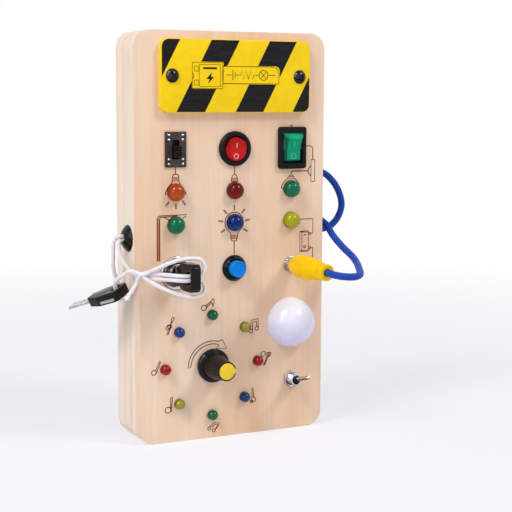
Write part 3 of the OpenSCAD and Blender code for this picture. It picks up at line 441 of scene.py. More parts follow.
@dataclass(frozen=True)
class Metal(Finish):
    """Plated or plain metal with faint rub marks and painted shade on its downward faces."""

    colour: Rgb
    shade: Rgb
    gloss: Flat
    # under is the share and dark the colour of the painted shade on downward faces.
    under: float = 0.3
    dark: Rgb = (44, 38, 36)

    def look(self, sheet: Sheet) -> dict[str, object]:
        """A metallic colour, painted darker on downward faces as painted shade, with smeared roughness.

        Args:
            sheet: Writer of the material's tree.

        Returns:
            Values and links by socket name.
        """
        mottle = sheet.mottle((1.0, 1.0, 6.0))
        # Painted shade: faces that turn downwards are painted towards the dark colour, standing for a darker
        # reflection.
        low = sheet.sums("MULTIPLY", sheet.span(sheet.normal()[2], 0.1, -0.55), self.under)
        plain = sheet.blend(mottle["Mask"], srgb(*self.colour), srgb(*self.shade))
        return {
            "Base Color": sheet.blend(low, plain, srgb(*self.dark)),
            "Roughness": sheet.span(mottle["Mask"], 0.0, 1.0, *self.gloss),
            "Metallic": 1.0,
            "Normal": sheet.relief(mottle["Height"], 0.15, 0.000004),
        }


@dataclass(frozen=True)
class Lens(Finish):
    """Tinted glossy resin with painted light: its lower side is painted brighter, as a glow of the light that
    passes through, and its rim is painted darker as shade.

    The painted light spot is where a rocker is painted brightest: its place sideways and up, its inner and
    its outer radius. Away from it and on its flanks the rocker is painted darker, and on faces that turn
    upwards brighter.
    """

    # deep is the resin's own tint, glow the painted light of its lower side, rim the painted shade of its
    # edge, shine the tint of its real gloss.
    deep: Rgb
    glow: Rgb
    rim: Rgb
    shine: Rgb
    gloss: float = 0.05
    specular: float = 0.45
    painted_light_spot: tuple[float, ...] = ()

    def look(self, sheet: Sheet) -> dict[str, object]:
        """The tint with its painted glow and its painted rim shade.

        Args:
            sheet: Writer of the material's tree.

        Returns:
            Values and links by socket name.
        """
        normal = sheet.normal()
        # Painted light: faces that turn downwards are painted towards the brighter glow colour.
        bright = sheet.span(normal[2], 0.1, -0.6)
        # Painted shade: faces that turn sideways, at the rim, are painted towards the dark rim colour.
        painted_rim_shade = sheet.span(normal[1], -0.55, -0.05)
        if self.painted_light_spot:
            # On a rocker: painted shade away from the painted light spot and on the flanks, painted light on
            # faces that turn upwards.
            x, z, near, far = (value * MM for value in self.painted_light_spot)
            level = sheet.vectors("MULTIPLY", sheet.object_point(), (1, 0, 1))
            away = sheet.vectors("DISTANCE", level, (x, 0, z), "Value")
            painted_side_shade = sheet.span(sheet.sums("ABSOLUTE", normal[0]), 0.25, 0.7)
            painted_rim_shade = sheet.sums("MAXIMUM", sheet.span(away, near, far, 0.0, 0.7), painted_side_shade)
            bright = sheet.span(normal[2], 0.45, 0.8)
        tint = sheet.blend(sheet.sums("MULTIPLY", bright, 0.8), srgb(*self.deep), srgb(*self.glow))
        return {
            "Base Color": sheet.blend(sheet.sums("MULTIPLY", painted_rim_shade, 0.85), tint, srgb(*self.rim)),
            "Roughness": sheet.span(sheet.mottle()["Mask"], 0, 1, self.gloss, self.gloss + 0.03),
            "Specular IOR Level": self.specular,
            "Specular Tint": srgb(*self.shine),
        }


@dataclass(frozen=True)
class Braid(Finish):
    """Woven sleeve of a cord, lighter on its strands and painted darker between them, as painted shade."""

    top: Rgb
    gap: Rgb
    strands: float
    pitch: float
    sheen: float
    gloss: float

    def look(self, sheet: Sheet) -> dict[str, object]:
        """The strands' colours, with painted shade between them, and their relief along the cord's own map.

        Args:
            sheet: Writer of the material's tree.

        Returns:
            Values and links by socket name.
        """
        laid = sheet.add("UVMap", uv_map="cord_map").outputs[0]
        tops = STRANDS.place(sheet, {"Map": laid, "Strands": self.strands, "Pitch": self.pitch})["Tops"]
        mottle = sheet.mottle()
        return {
            # Painted shade: the gap colour between the strands, the top colour on them.
            "Base Color": sheet.blend(tops, srgb(*self.gap), srgb(*self.top)),
            "Roughness": sheet.span(mottle["Mask"], 0, 1, self.gloss, self.gloss + 0.12),
            "Specular IOR Level": 0.12,
            "Sheen Weight": self.sheen,
            "Sheen Roughness": 0.4,
            "Normal": sheet.relief(sheet.sums("ADD", tops, mottle["Height"]), 0.7, 0.0001),
        }


@dataclass(frozen=True)
class Frosted(Finish):
    """White frosted plastic with a cool cast, painted shade on its downward faces and a soft gloss."""

    lit: Rgb
    low: Rgb

    def look(self, sheet: Sheet) -> dict[str, object]:
        """A pale colour, painted darker and cooler on faces that turn downwards as painted shade, which
        scatters light.

        Args:
            sheet: Writer of the material's tree.

        Returns:
            Values and links by socket name.
        """
        mottle = sheet.mottle()
        # Painted shade: faces that turn downwards blend from the lit colour to the low one.
        below = sheet.span(sheet.normal()[2], 0.6, -0.7)
        return {
            "Base Color": sheet.blend(below, srgb(*self.lit), srgb(*self.low)),
            "Roughness": sheet.span(mottle["Mask"], 0, 1, 0.2, 0.28),
            "Subsurface Weight": 0.35,
            "Subsurface Scale": 0.004,
            "Coat Weight": 0.35,
            "Coat Roughness": 0.1,
            "Normal": sheet.relief(mottle["Height"], 0.1, 0.000006),
        }


@dataclass(frozen=True)
class Circuit(Finish):
    """Green lacquered board with faint copper runs under the lacquer."""

    lacquer: Rgb
    copper: Rgb

    def look(self, sheet: Sheet) -> dict[str, object]:
        """Runs of copper under the lacquer's colour.

        Args:
            sheet: Writer of the material's tree.

        Returns:
            Values and links by socket name.
        """
        cells = sheet.add(
            "TexVoronoi", {"Vector": sheet.object_point(), "Scale": 190.0}, distance="CHEBYCHEV"
        )
        runs = sheet.span(cells.outputs["Distance"], 0.30, 0.34)
        return {
            "Base Color": sheet.blend(runs, srgb(*self.copper), srgb(*self.lacquer)),
            "Roughness": sheet.span(sheet.mottle()["Mask"], 0, 1, 0.25, 0.4),
            "Normal": sheet.relief(runs, 0.3, 0.00003),
        }


WOOD_FACE = Wood("sanded_face_wood", "wood_face", (240, 216, 195), (231, 193, 160), (206, 158, 122), 0.17)
WOOD_LAYERS = [
    Wood(name, "wood_layer", *colours, amount, shift)
    for name, colours, amount, shift in (
        ("layer_wood_front", ((244, 230, 216), (238, 216, 196), (214, 178, 148)), 0.2, (0.3, 0.1, 0.2)),
        ("layer_wood_middle", ((241, 226, 211), (233, 209, 188), (208, 170, 140)), 0.22, (0.7, 0.4, 0.5)),
        ("layer_wood_rear", ((245, 232, 218), (239, 218, 199), (216, 180, 150)), 0.18, (0.1, 0.9, 0.8)),
        ("cover_wood", ((236, 216, 192), (222, 190, 158), (192, 148, 110)), 0.28, (0.5, 0.2, 0.6)),
    )
]
BURNT = Plastic("burnt_wood_line", "wood_face", (118, 54, 20), (84, 36, 12), (0.8, 0.9), 0.0)
SCORCHED = Plastic("scorched_wood", "wood_face", (200, 140, 96), (182, 120, 78), (0.7, 0.8), 0.1)
SIGN_YELLOW = Plastic("sign_yellow_paint", "sign", (246, 209, 8), (242, 203, 4), (0.4, 0.5), depth=0.00002)
SIGN_BLACK = Plastic(
    "sign_black_paint", "sign", (26, 24, 27), (12, 11, 13), (0.45, 0.55), 0.15, depth=0.00004,
    stretch=(0.6, 1, 6),
)
SIGN_LINE = Plastic("sign_dark_line", "sign", (50, 32, 10), (34, 22, 8), (0.6, 0.7), 0.1)
# Metals: colour, mottle colour and gloss range; their downward faces get painted shade, chrome the most.
BLACK_NICKEL = Metal("black_nickel_screw", "black_screw", (62, 59, 62), (38, 36, 38), (0.14, 0.26))
STEEL = Metal("bright_steel", "steel", (208, 208, 210), (176, 176, 180), (0.22, 0.36))
CHROME = Metal("polished_chrome", "chrome", (222, 219, 219), (196, 193, 194), (0.05, 0.12), 0.85)
BLACK_MATT = Plastic("matt_black_plastic", "black_plastic", (28, 25, 27), (20, 18, 20), (0.34, 0.44), 0.1)
BLACK_GLOSS = Plastic("glossy_black_plastic", "black_gloss", (16, 14, 16), (11, 10, 12), (0.14, 0.24), 0.2)
KEY_BLACK = Plastic("key_head_plastic", "black_gloss", (17, 14, 15), (11, 9, 10), (0.12, 0.2), 0.2)
SEAL_BLACK = Plastic("seal_rubber", "black_rubber", (16, 15, 17), (12, 11, 13), (0.5, 0.6))
RUBBER = Plastic("grommet_rubber", "black_rubber", (12, 11, 14), (8, 7, 9), (0.08, 0.14), 0.2)
PLATE = Plastic(
    "dark_switch_plate", "brown_plate", (74, 61, 57), (48, 40, 39), (0.3, 0.45), depth=0.00004,
    stretch=(1, 1, 0.15),
)
# Rockers: deep tint, painted glow, painted rim shade, gloss tint, and the spot where their painted light is
# brightest.
RED_ROCKER = Lens(
    "red_rocker_plastic", "red_rocker", (206, 16, 18), (232, 52, 50), (96, 2, 6), (255, 190, 190), 0.16, 0.3,
    (0.9, 142.8, 2.6, 6.4),
)
GREEN_ROCKER = Lens(
    "green_rocker_plastic", "green_rocker", (0, 146, 108), (0, 200, 148), (0, 62, 48), (180, 255, 235), 0.14,
    0.3, (32.0, 142.5, 5.0, 8.6),
)
BLUE_CAP = Plastic("blue_cap_plastic", "blue_cap", (0, 130, 226), (0, 120, 216), (0.28, 0.36), 0.12)
# Lenses: deep tint, painted glow, painted rim shade and gloss tint.
AMBER = Lens("amber_resin", "amber_lens", (160, 54, 0), (190, 80, 4), (112, 32, 0), (255, 222, 180))
RED = Lens("dark_red_resin", "red_lens", (84, 0, 0), (130, 14, 22), (64, 0, 0), (255, 166, 171))
BLUE = Lens("deep_blue_resin", "blue_lens", (0, 18, 94), (30, 54, 132), (2, 10, 66), (164, 192, 255))
GREEN = Lens("green_resin", "green_lens", (0, 92, 60), (0, 114, 76), (0, 60, 34), (168, 255, 223))
LIME = Lens("lime_resin", "lime_lens", (156, 156, 12), (178, 170, 44), (122, 112, 8), (250, 255, 170))
# Small lenses: deep tint, painted glow, painted rim shade and gloss tint.
SMALL_LENSES = {
    colour: Lens(name, f"{colour}_lens", *tints, gloss=0.04, specular=0.8)
    for colour, name, tints in (
        ("green", "dark_green_resin", ((0, 66, 38), (22, 94, 60), (4, 48, 28), (150, 255, 223))),
        ("lime", "dull_lime_resin", ((136, 128, 30), (150, 144, 46), (86, 82, 14), (250, 255, 190))),
        ("red", "bright_red_resin", ((140, 0, 8), (166, 16, 26), (80, 2, 0), (255, 150, 160))),
        ("blue", "mid_blue_resin", ((0, 36, 106), (22, 56, 124), (2, 20, 62), (150, 196, 255))),
    )
}
# Dome: lit colour, then the painted shade of its downward faces.
DOME_WHITE = Frosted("frosted_dome", "white_dome", (233, 231, 249), (220, 217, 246))
GRIP_YELLOW = Plastic("yellow_grip_plastic", "yellow_grip", (248, 201, 0), (243, 194, 0), (0.3, 0.4), 0.12)
CAP_YELLOW = Plastic("yellow_cap_plastic", "yellow_grip", (240, 202, 50), (234, 194, 42), (0.4, 0.5))
# Cord sleeves: strand colour, then the painted shade between the strands.
CABLE_BLUE = Braid("blue_braided_sleeve", "blue_braid", (48, 108, 232), (0, 12, 88), 9.0, 1.5, 0.0, 0.42)
CORD_WHITE = Braid("white_cord_sleeve", "white_cord", (246, 244, 246), (224, 220, 226), 6.0, 1.3, 0.2, 0.5)
MARK_WHITE = Plastic("white_mark", "red_rocker", (244, 244, 240), (236, 236, 232), (0.35, 0.45))
MARK_GREEN = Plastic("pale_green_mark", "green_rocker", (132, 214, 188), (120, 204, 178), (0.35, 0.45))
DOT_RED = Plastic("red_dot_paint", "chrome", (178, 14, 22), (160, 10, 18), (0.3, 0.4))
BOARD = Circuit("green_circuit_board", "pcb", (22, 96, 58), (58, 132, 76))
CELL = Plastic("cell_sleeve", "cell", (54, 58, 62), (40, 43, 47), (0.28, 0.4), coat=0.2)


# ---- Shape helpers ----


def facing(x: float, z: float, y: float = FACE_Y) -> Matrix:
    """Matrix from millimetres on the front face to metres in the part's frame.

    Args:
        x: Sideways place of the local origin.
        z: Height of the local origin.
        y: Depth of the local origin.

    Returns:
        A matrix whose local x is right, y is up and z points out of the panel.
    """
    return Matrix.Scale(MM, 4) @ Matrix.Translation((x, y, z)) @ Matrix.Rotation(math.pi / 2, 4, "X")


def sideways(side: int, y: float, z: float) -> Matrix:
    """Matrix whose local z points out of the left (-1) or right (1) side wall."""
    turn = Matrix.Rotation(side * math.pi / 2, 4, "Y")
    return Matrix.Scale(MM, 4) @ Matrix.Translation((side * BOARD_W / 2, y, z)) @ turn


def arc(
    radius: float, angles: Iterable[float], middle: Flat = (0.0, 0.0), tall: float | None = None
) -> list[Flat]:
    """Points on a circle, or on an ellipse with a height of its own.

    Args:
        radius: Radius of the circle, or half of the ellipse's width.
        angles: Angles in degrees from the right, turning left.
        middle: Middle of the circle.
        tall: Half of the ellipse's height.

    Returns:
        One point for each angle.
    """
    up = radius if tall is None else tall
    turns = [math.radians(angle) for angle in angles]
    return [(middle[0] + radius * math.cos(turn), middle[1] + up * math.sin(turn)) for turn in turns]


def eased(points: Sequence[Flat], radius: float, steps: int = 4) -> list[Flat]:
    """Rounds the inner corners of an open outline.

    Args:
        points: Outline corners; the two ends stay as they are.
        radius: Largest rounding radius.
        steps: Chords in each rounded corner.

    Returns:
        The outline with an arc in place of each corner.
    """
    straight, most = math.radians(172), 0.48
    out = [points[0]]
    for before, here, after in zip(points, points[1:], points[2:]):
        to_before = Vector(before) - Vector(here)
        to_after = Vector(after) - Vector(here)
        angle = to_before.angle(to_after, math.pi)
        if angle > straight or not to_before.length or not to_after.length:
            out.append(here)
            continue
        reach = min(radius / math.tan(angle / 2), most * to_before.length, most * to_after.length)
        start = Vector(here) + to_before.normalized() * reach
        end = Vector(here) + to_after.normalized() * reach
        for i in range(steps + 1):
            t = i / steps
            spot = start * (1 - t) ** 2 + Vector(here) * (2 * t * (1 - t)) + end * t**2
            out.append((spot.x, spot.y))
    out.append(points[-1])
    return out


def turned(profile: Sequence[Flat], segments: int = 96) -> Mesh:
    """Spins an outline of radius and height round the local z axis.

    Args:
        profile: Radius and height of each point, from the foot outwards.
        segments: Steps of the full turn.

    Returns:
        A closed mesh in local millimetres with faces pointing outwards.
    """
    bm = bmesh.new()
    verts = [bm.verts.new((max(r, 0.0), 0.0, h)) for r, h in profile]
    edges = [bm.edges.new(pair) for pair in zip(verts, verts[1:])]
    bmesh.ops.spin(
        bm, geom=verts + edges, cent=(0, 0, 0), axis=(0, 0, 1), angle=math.tau, steps=segments, use_merge=True
    )
    bmesh.ops.remove_doubles(bm, verts=bm.verts, dist=1e-4)
    bmesh.ops.recalc_face_normals(bm, faces=bm.faces)
    return bm


def rounded_face(bm: Mesh, width: float, height: float, radius: float, out: float) -> None:
    """Adds a flat rectangle with round corners at a height.

    Args:
        bm: Empty mesh that the face goes into.
        width: Full width.
        height: Full height.
        radius: Corner radius.
        out: Height of the face.
    """
    bmesh.ops.create_grid(bm, x_segments=1, y_segments=1, size=0.5)
    bmesh.ops.scale(bm, vec=(width, height, 1), verts=bm.verts)
    bmesh.ops.bevel(
        bm, geom=bm.verts[:], offset=radius, affect="VERTICES", segments=8, profile=0.5, material=-1
    )
    bmesh.ops.translate(bm, vec=(0, 0, out), verts=bm.verts)


def thicken(bm: Mesh, height: float) -> None:
    """Raises flat faces by a height and closes the walls below them.

    Args:
        bm: Mesh of flat faces.
        height: Thickness that they get.
    """
    made = bmesh.ops.extrude_face_region(bm, geom=bm.faces[:])
    top = [v for v in made["geom"] if isinstance(v, bmesh.types.BMVert)]
    bmesh.ops.translate(bm, verts=top, vec=(0, 0, height))
    bmesh.ops.recalc_face_normals(bm, faces=bm.faces)


def shifted(bm: Mesh, x: float, y: float, z: float) -> Mesh:
    """Moves a whole mesh and gives it back."""
    bmesh.ops.translate(bm, verts=bm.verts, vec=(x, y, z))
    return bm


def slab(width: float, height: float, radius: float, low: float, high: float) -> Mesh:
    """A flat slab with round corners.

    Args:
        width: Full width.
        height: Full height.
        radius: Corner radius.
        low: Level of the back face.
        high: Level of the front face.

    Returns:
        A closed mesh in local millimetres.
    """
    bm = bmesh.new()
    rounded_face(bm, width, height, radius, low)
    thicken(bm, high - low)
    return bm


def soften(bm: Mesh, edges: Iterable, width: float, segments: int = 2) -> None:
    """Rounds edges of a mesh by a width."""
    bmesh.ops.bevel(
        bm, geom=list(edges), offset=width, affect="EDGES", segments=segments, profile=0.5, material=-1,
        clamp_overlap=True,
    )


def steep(edge: bmesh.types.BMEdge, corner: float) -> bool:
    """Whether an edge turns by more than an angle in degrees."""
    return edge.calc_face_angle(0.0) > math.radians(corner)


def merged(*meshes: Mesh) -> Mesh:
    """Puts several meshes into one and frees them.

    Args:
        *meshes: The meshes.

    Returns:
        One mesh with all of their faces.
    """
    whole = bmesh.new()
    for bm in meshes:
        carrier = bpy.data.meshes.new("carrier")
        bm.to_mesh(carrier)
        bm.free()
        whole.from_mesh(carrier)
        bpy.data.meshes.remove(carrier)
    return whole


def put(
    bm: Mesh,
    name: str,
    finish: Finish,
    body: Body | None,
    frame: Matrix | None = None,
    replaces: Sequence[str] = (),
    crease: float = 32.0,
) -> Piece:
    """Makes a finished piece of a mesh.

    Args:
        bm: The piece's mesh; it is freed.
        name: Name of the piece.
        finish: Its finish.
        body: Body that it rides on, or None where a blend comes later.
        frame: Matrix from the mesh's coordinates to metres in the part's frame.
        replaces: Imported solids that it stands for.
        crease: Angle in degrees above which an edge stays sharp.

    Returns:
        The new object, at the origin.
    """
    if frame is not None:
        bmesh.ops.transform(bm, matrix=frame, verts=bm.verts)
    mesh = bpy.data.meshes.new(name)
    bm.to_mesh(mesh)
    bm.free()
    mesh.shade_smooth()
    mesh.set_sharp_from_angle(angle=math.radians(crease))
    piece = bpy.data.objects.new(name, mesh)
    bpy.context.scene.collection.objects.link(piece)
    mesh.materials.append(finish.material())
    if replaces:
        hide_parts(*replaces)
    if body is not None:
        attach(piece, body.value)
    LOG.info("%s: %d faces in %s", name, len(mesh.polygons), finish.name)
    return piece


def packed_copy(node: str) -> Mesh:
    """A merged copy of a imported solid's mesh, in metres, with its flat faces joined.

    Args:
        node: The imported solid.

    Returns:
        A closed mesh without the solid's loose triangles.
    """
    bm = bmesh.new()
    bm.from_mesh(FRAME["nodes"][node].data)
    bmesh.ops.remove_doubles(bm, verts=bm.verts, dist=2e-6)
    bmesh.ops.dissolve_limit(bm, angle_limit=math.radians(0.8), verts=bm.verts, edges=bm.edges)
    return bm


def eased_node(
    node: str,
    name: str,
    finish: Finish,
    body: Body,
    width: float,
    pick: Callable[[Vector], bool] = lambda point: True,
    corner: float = 40.0,
) -> None:
    """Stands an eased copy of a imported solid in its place.

    Args:
        node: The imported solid.
        name: Name of the new piece.
        finish: Its finish.
        body: Body that it rides on.
        width: Rounding of its edges.
        pick: Tells by a point in millimetres whether an edge that has both ends there is eased.
        corner: Least angle in degrees of an edge that is eased.
    """
    bm = packed_copy(node)
    edges = [
        e
        for e in bm.edges
        if e.is_manifold and steep(e, corner) and e.is_convex and all(pick(v.co / MM) for v in e.verts)
    ]
    soften(bm, edges, width * MM)
    put(bm, name, finish, body, replaces=[node])


def dress_nodes(finish: Finish, *nodes: str) -> None:
    """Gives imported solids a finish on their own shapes."""
    for node in nodes:
        piece = FRAME["nodes"][node]
        piece.data.materials.clear()
        piece.data.materials.append(finish.material())
        LOG.info("%s keeps its shape in %s", node, finish.name)


# ---- Drawn lines ----


@dataclass
class Line:
    """A thin drawn line on a flat face.

    Attributes:
        points: Sideways place and height of its points.
        closed: Whether its ends meet.
        smooth: Whether it runs as a soft curve near its points.
    """

    points: Sequence[Flat]
    closed: bool = False
    smooth: bool = False


def ring(
    x: float, z: float, radius: float, start: float = 0.0, sweep: float = 360.0, count: int = 28
) -> Line:
    """A circle or an arc.

    Args:
        x: Sideways place of its middle.
        z: Height of its middle.
        radius: Its radius.
        start: Angle of its first point in degrees from the right, turning left.
        sweep: Angle that it covers.
        count: Chords in it.

    Returns:
        The line, closed where it goes all the way round.
    """
    full = abs(sweep) >= 360
    steps = count if full else count + 1
    return Line(arc(radius, [start + sweep * i / count for i in range(steps)], (x, z)), closed=full)


def box(low_x: float, low_z: float, high_x: float, high_z: float) -> Line:
    """An upright rectangle."""
    return Line([(low_x, low_z), (high_x, low_z), (high_x, high_z), (low_x, high_z)], closed=True)


def draw(
    lines: Sequence[Line], name: str, finish: Finish, body: Body, width: float, y: float = FACE_Y
) -> None:
    """Lays thin lines on a face, one shallow ridge for each.

    Args:
        lines: The lines, as sideways places and heights in millimetres.
        name: Name of the piece.
        finish: Its finish.
        body: Body that it rides on.
        width: Width of the lines.
        y: Depth of the face.
    """
    ridge_share = 0.35
    curve = bpy.data.curves.new(name, "CURVE")
    curve.dimensions = "3D"
    curve.bevel_depth = width / 2
    curve.bevel_resolution = 1
    curve.resolution_u = 6
    for line in lines:
        spline = curve.splines.new("NURBS" if line.smooth else "POLY")
        spline.points.add(len(line.points) - 1)
        for point, (x, z) in zip(spline.points, line.points):
            point.co = (x, 0, z, 1)
        spline.use_cyclic_u = line.closed
        if line.smooth:
            spline.order_u = 3
            spline.use_endpoint_u = not line.closed
    carrier = bpy.data.objects.new("carrier", curve)
    bpy.context.scene.collection.objects.link(carrier)
    bpy.context.view_layer.update()
    drawn = bpy.data.meshes.new_from_object(carrier.evaluated_get(bpy.context.evaluated_depsgraph_get()))
    bpy.data.objects.remove(carrier)
    bpy.data.curves.remove(curve)
    bm = bmesh.new()
    bm.from_mesh(drawn)
    bpy.data.meshes.remove(drawn)
    bmesh.ops.recalc_face_normals(bm, faces=bm.faces)
    flat = Matrix.Diagonal((1, ridge_share, 1, 1))
    put(bm, name, finish, body, Matrix.Scale(MM, 4) @ Matrix.Translation((0, y, 0)) @ flat)


# ---- Cords ----


def smooth_route(route: Sequence[Place], step: float) -> list[Vector]:
    """Runs one smooth curve through the points of a route.

    Args:
        route: Points in millimetres.
        step: Largest distance between the new points.

    Returns:
        Points in millimetres on a curve through the given ones.
    """
    points = [Vector(p) for p in route]
    ends = [points[0] * 2 - points[1]] + points + [points[-1] * 2 - points[-2]]
    out = []
    for p0, p1, p2, p3 in zip(ends, ends[1:], ends[2:], ends[3:]):
        gaps = [math.sqrt((b - a).length) for a, b in ((p0, p1), (p1, p2), (p2, p3))]
        first = (p1 - p0) / gaps[0] - (p2 - p0) / (gaps[0] + gaps[1]) + (p2 - p1) / gaps[1]
        last = (p2 - p1) / gaps[1] - (p3 - p1) / (gaps[1] + gaps[2]) + (p3 - p2) / gaps[2]
        first, last = first * gaps[1], last * gaps[1]
        count = max(1, math.ceil((p2 - p1).length / step))
        for i in range(count):
            t = i / count
            out.append(
                p1 * (2 * t**3 - 3 * t**2 + 1)
                + first * (t**3 - 2 * t**2 + t)
                + p2 * (3 * t**2 - 2 * t**3)
                + last * (t**3 - t**2)
            )
    return out + [points[-1]]


@dataclass
class Cord:
    """A round cord with a woven sleeve.

    Attributes:
        name: Name of the piece.
        route: Points that its centreline goes through.
        radius: Its radius.
        finish: Its woven finish.
        sides: Points of each ring.
        step: Distance between rings.
        lift: Height of the strands.
        path: Middle of each ring, worked out from the route.
    """

    name: str
    route: Sequence[Place]
    radius: float
    finish: Braid
    sides: int = 32
    step: float = 0.4
    lift: float = 0.09
    path: list[Vector] = field(default_factory=list)

    def build(self, replaces: Sequence[str] = ()) -> Piece:
        """Sweeps the sleeve along its route, strand by strand.

        Args:
            replaces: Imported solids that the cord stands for.

        Returns:
            The cord, not yet on a body.
        """
        self.path = smooth_route(self.route, self.step)
        bm = bmesh.new()
        laid = bm.loops.layers.uv.new("cord_map")
        side = self.path[1] - self.path[0]
        side = side.cross(Vector((0, 0, 1)) if abs(side.z) < 0.8 * side.length else Vector((0, 1, 0)))
        rings, travelled, lengths = [], 0.0, []
        for i, point in enumerate(self.path):
            ahead = self.path[min(i + 1, len(self.path) - 1)] - self.path[max(i - 1, 0)]
            ahead.normalize()
            side = (side - ahead * side.dot(ahead)).normalized()
            up = ahead.cross(side)
            travelled += (point - self.path[max(i - 1, 0)]).length
            lengths.append(travelled)
            along = math.cos(math.tau * travelled / self.finish.pitch)
            spots = []
            for k in range(self.sides):
                turn = math.tau * k / self.sides
                wave = max(0.0, math.cos(self.finish.strands * turn) * along)
                reach = self.radius - self.lift * (1 - wave)
                outward = side * math.cos(turn) + up * math.sin(turn)
                spots.append(bm.verts.new((point + outward * reach) * MM))
            rings.append(spots)
        for i, (low, high) in enumerate(zip(rings, rings[1:])):
            for k in range(self.sides):
                after = (k + 1) % self.sides
                face = bm.faces.new((low[k], low[after], high[after], high[k]))
                for loop, across, along in zip(face.loops, (k, k + 1, k + 1, k), (i, i, i + 1, i + 1)):
                    loop[laid].uv = (across / self.sides, lengths[along])
        for end in (rings[0], rings[-1]):
            bm.faces.new(end)
        bmesh.ops.recalc_face_normals(bm, faces=bm.faces)
        return put(bm, self.name, self.finish, None, replaces=replaces, crease=60)

    def declare(
        self, piece: Piece, leaves: Place, far_end: str, stiffness: str, with_pieces: Sequence = ()
    ) -> None:
        """Takes where the cord leaves the object and what is on its end, and does nothing with them.

        Args:
            piece: The cord's mesh; not used.
            leaves: Point in millimetres where it leaves what holds it; not used.
            far_end: What is on its far end; not used.
            stiffness: How stiff it is; not used.
            with_pieces: Separate pieces on it; not used.
        """


def bend(piece: Piece) -> None:
    """Bakes a cord's placement into its mesh."""
    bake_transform(piece)


# ---- Studio ----


@dataclass(frozen=True)
class SoftPanel:
    """A square lamp that gives soft light, its place and size in metres, its power in watts."""

    name: str
    place: Place
    size: float
    power: float

    def build(self, aim: Place) -> None:
        """Sets up the lamp.

        Args:
            aim: Point that it faces.
        """
        data = bpy.data.lights.new(self.name, "AREA")
        data.shape = "SQUARE"
        data.size = self.size
        data.energy = self.power
        data.color = (1.0, 0.985, 0.965)
        lamp = bpy.data.objects.new(self.name, data)
        turn = (Vector(aim) - Vector(self.place)).to_track_quat("-Z", "Y").to_matrix().to_4x4()
        lamp.matrix_world = Matrix.Translation(self.place) @ turn
        bpy.context.scene.collection.objects.link(lamp)


@dataclass
class Studio:
    """Camera, floor and soft light.

    The eye, the lens and the sensor are in millimetres, the floor, the panels and their aim in metres.
    """

    eye: Place = (-279.884, -590.086, 170.716)
    yaw: float = 26.919
    pitch: float = 7.1405
    roll: float = -0.305
    lens: float = 91.696
    sensor: float = 36.0
    floor_r: float = 6.0
    fade_from: float = 0.2
    fade_to: float = 0.75
    floor_glow: float = 0.66
    surround: float = 0.33
    aim: Place = (0.0, 0.0, 0.1)
    panels: tuple[SoftPanel, ...] = (
        SoftPanel("side_panel", (-1.25, -0.5, 0.6), 0.8, 4.2),
        SoftPanel("left_window", (-1.41, -0.67, 1.86), 0.6, 24.0),
        SoftPanel("right_window", (1.04, -1.26, 1.7), 0.6, 21.0),
    )

    def camera(self) -> None:
        """Sets up the camera."""
        data = bpy.data.cameras.new("view_camera")
        data.lens = self.lens
        data.sensor_width = self.sensor
        data.clip_start = 0.01
        data.clip_end = 20.0
        camera = bpy.data.objects.new("view_camera", data)
        turn = (
            Matrix.Rotation(-math.radians(self.yaw), 4, "Z")
            @ Matrix.Rotation(math.radians(90 - self.pitch), 4, "X")
            @ Matrix.Rotation(math.radians(-self.roll), 4, "Z")
        )
        camera.matrix_world = Matrix.Translation(Vector(self.eye) * MM) @ turn
        bpy.context.scene.collection.objects.link(camera)
        bpy.context.scene.camera = camera

    def floor(self) -> None:
        """Lays a pale floor that fades to white away from the object."""
        bm = bmesh.new()
        bmesh.ops.create_circle(bm, cap_ends=True, segments=96, radius=self.floor_r)
        mesh = bpy.data.meshes.new("studio_floor")
        bm.to_mesh(mesh)
        bm.free()
        floor = bpy.data.objects.new("studio_floor", mesh)
        bpy.context.scene.collection.objects.link(floor)
        mesh.materials.append(self.floor_material())

    def floor_material(self) -> bpy.types.Material:
        """Matt off-white that takes soft shadows near the object only.

        Returns:
            The floor's material.
        """
        material = bpy.data.materials.new("pale_floor")
        sheet = Sheet.fresh(material)
        matt = sheet.add("BsdfDiffuse", {"Color": (0.86, 0.86, 0.9, 1)}).outputs[0]
        pale = sheet.add("Emission", {"Color": (0.95, 0.945, 0.98, 1), "Strength": 1.0}).outputs[0]
        white = sheet.add("Emission", {"Color": (1.0, 1.0, 1.0, 1), "Strength": 1.0}).outputs[0]
        seen = sheet.seen()
        glow = sheet.sums("MULTIPLY", seen, self.floor_glow)
        near = sheet.add("MixShader", {0: glow, 1: matt, 2: pale}).outputs[0]
        away = sheet.add("VectorMath", {0: sheet.object_point()}, operation="LENGTH").outputs["Value"]
        fade = sheet.sums("MULTIPLY", sheet.span(away, self.fade_from, self.fade_to), seen)
        mixed = sheet.add("MixShader", {0: fade, 1: near, 2: white}).outputs[0]
        sheet.add("OutputMaterial", {"Surface": mixed})
        return material

    def light(self) -> None:
        """Adds a white surround and soft panels at both sides of the view."""
        world = bpy.data.worlds.new("studio_world")
        bpy.context.scene.world = world
        sheet = Sheet.fresh(world)
        soft = sheet.add("Background", {"Color": (0.95, 0.97, 1.0, 1), "Strength": self.surround}).outputs[0]
        white = sheet.add("Background", {"Color": (1, 1, 1, 1), "Strength": 1.0}).outputs[0]
        mixed = sheet.add("MixShader", {0: sheet.seen(), 1: soft, 2: white}).outputs[0]
        sheet.add("OutputWorld", {"Surface": mixed})
        for panel in self.panels:
            panel.build(self.aim)

    def build(self) -> None:
        """Sets up everything round the object."""
        self.floor()
        self.light()
        bpy.context.scene.view_settings.view_transform = "Standard"


# ---- Case ----


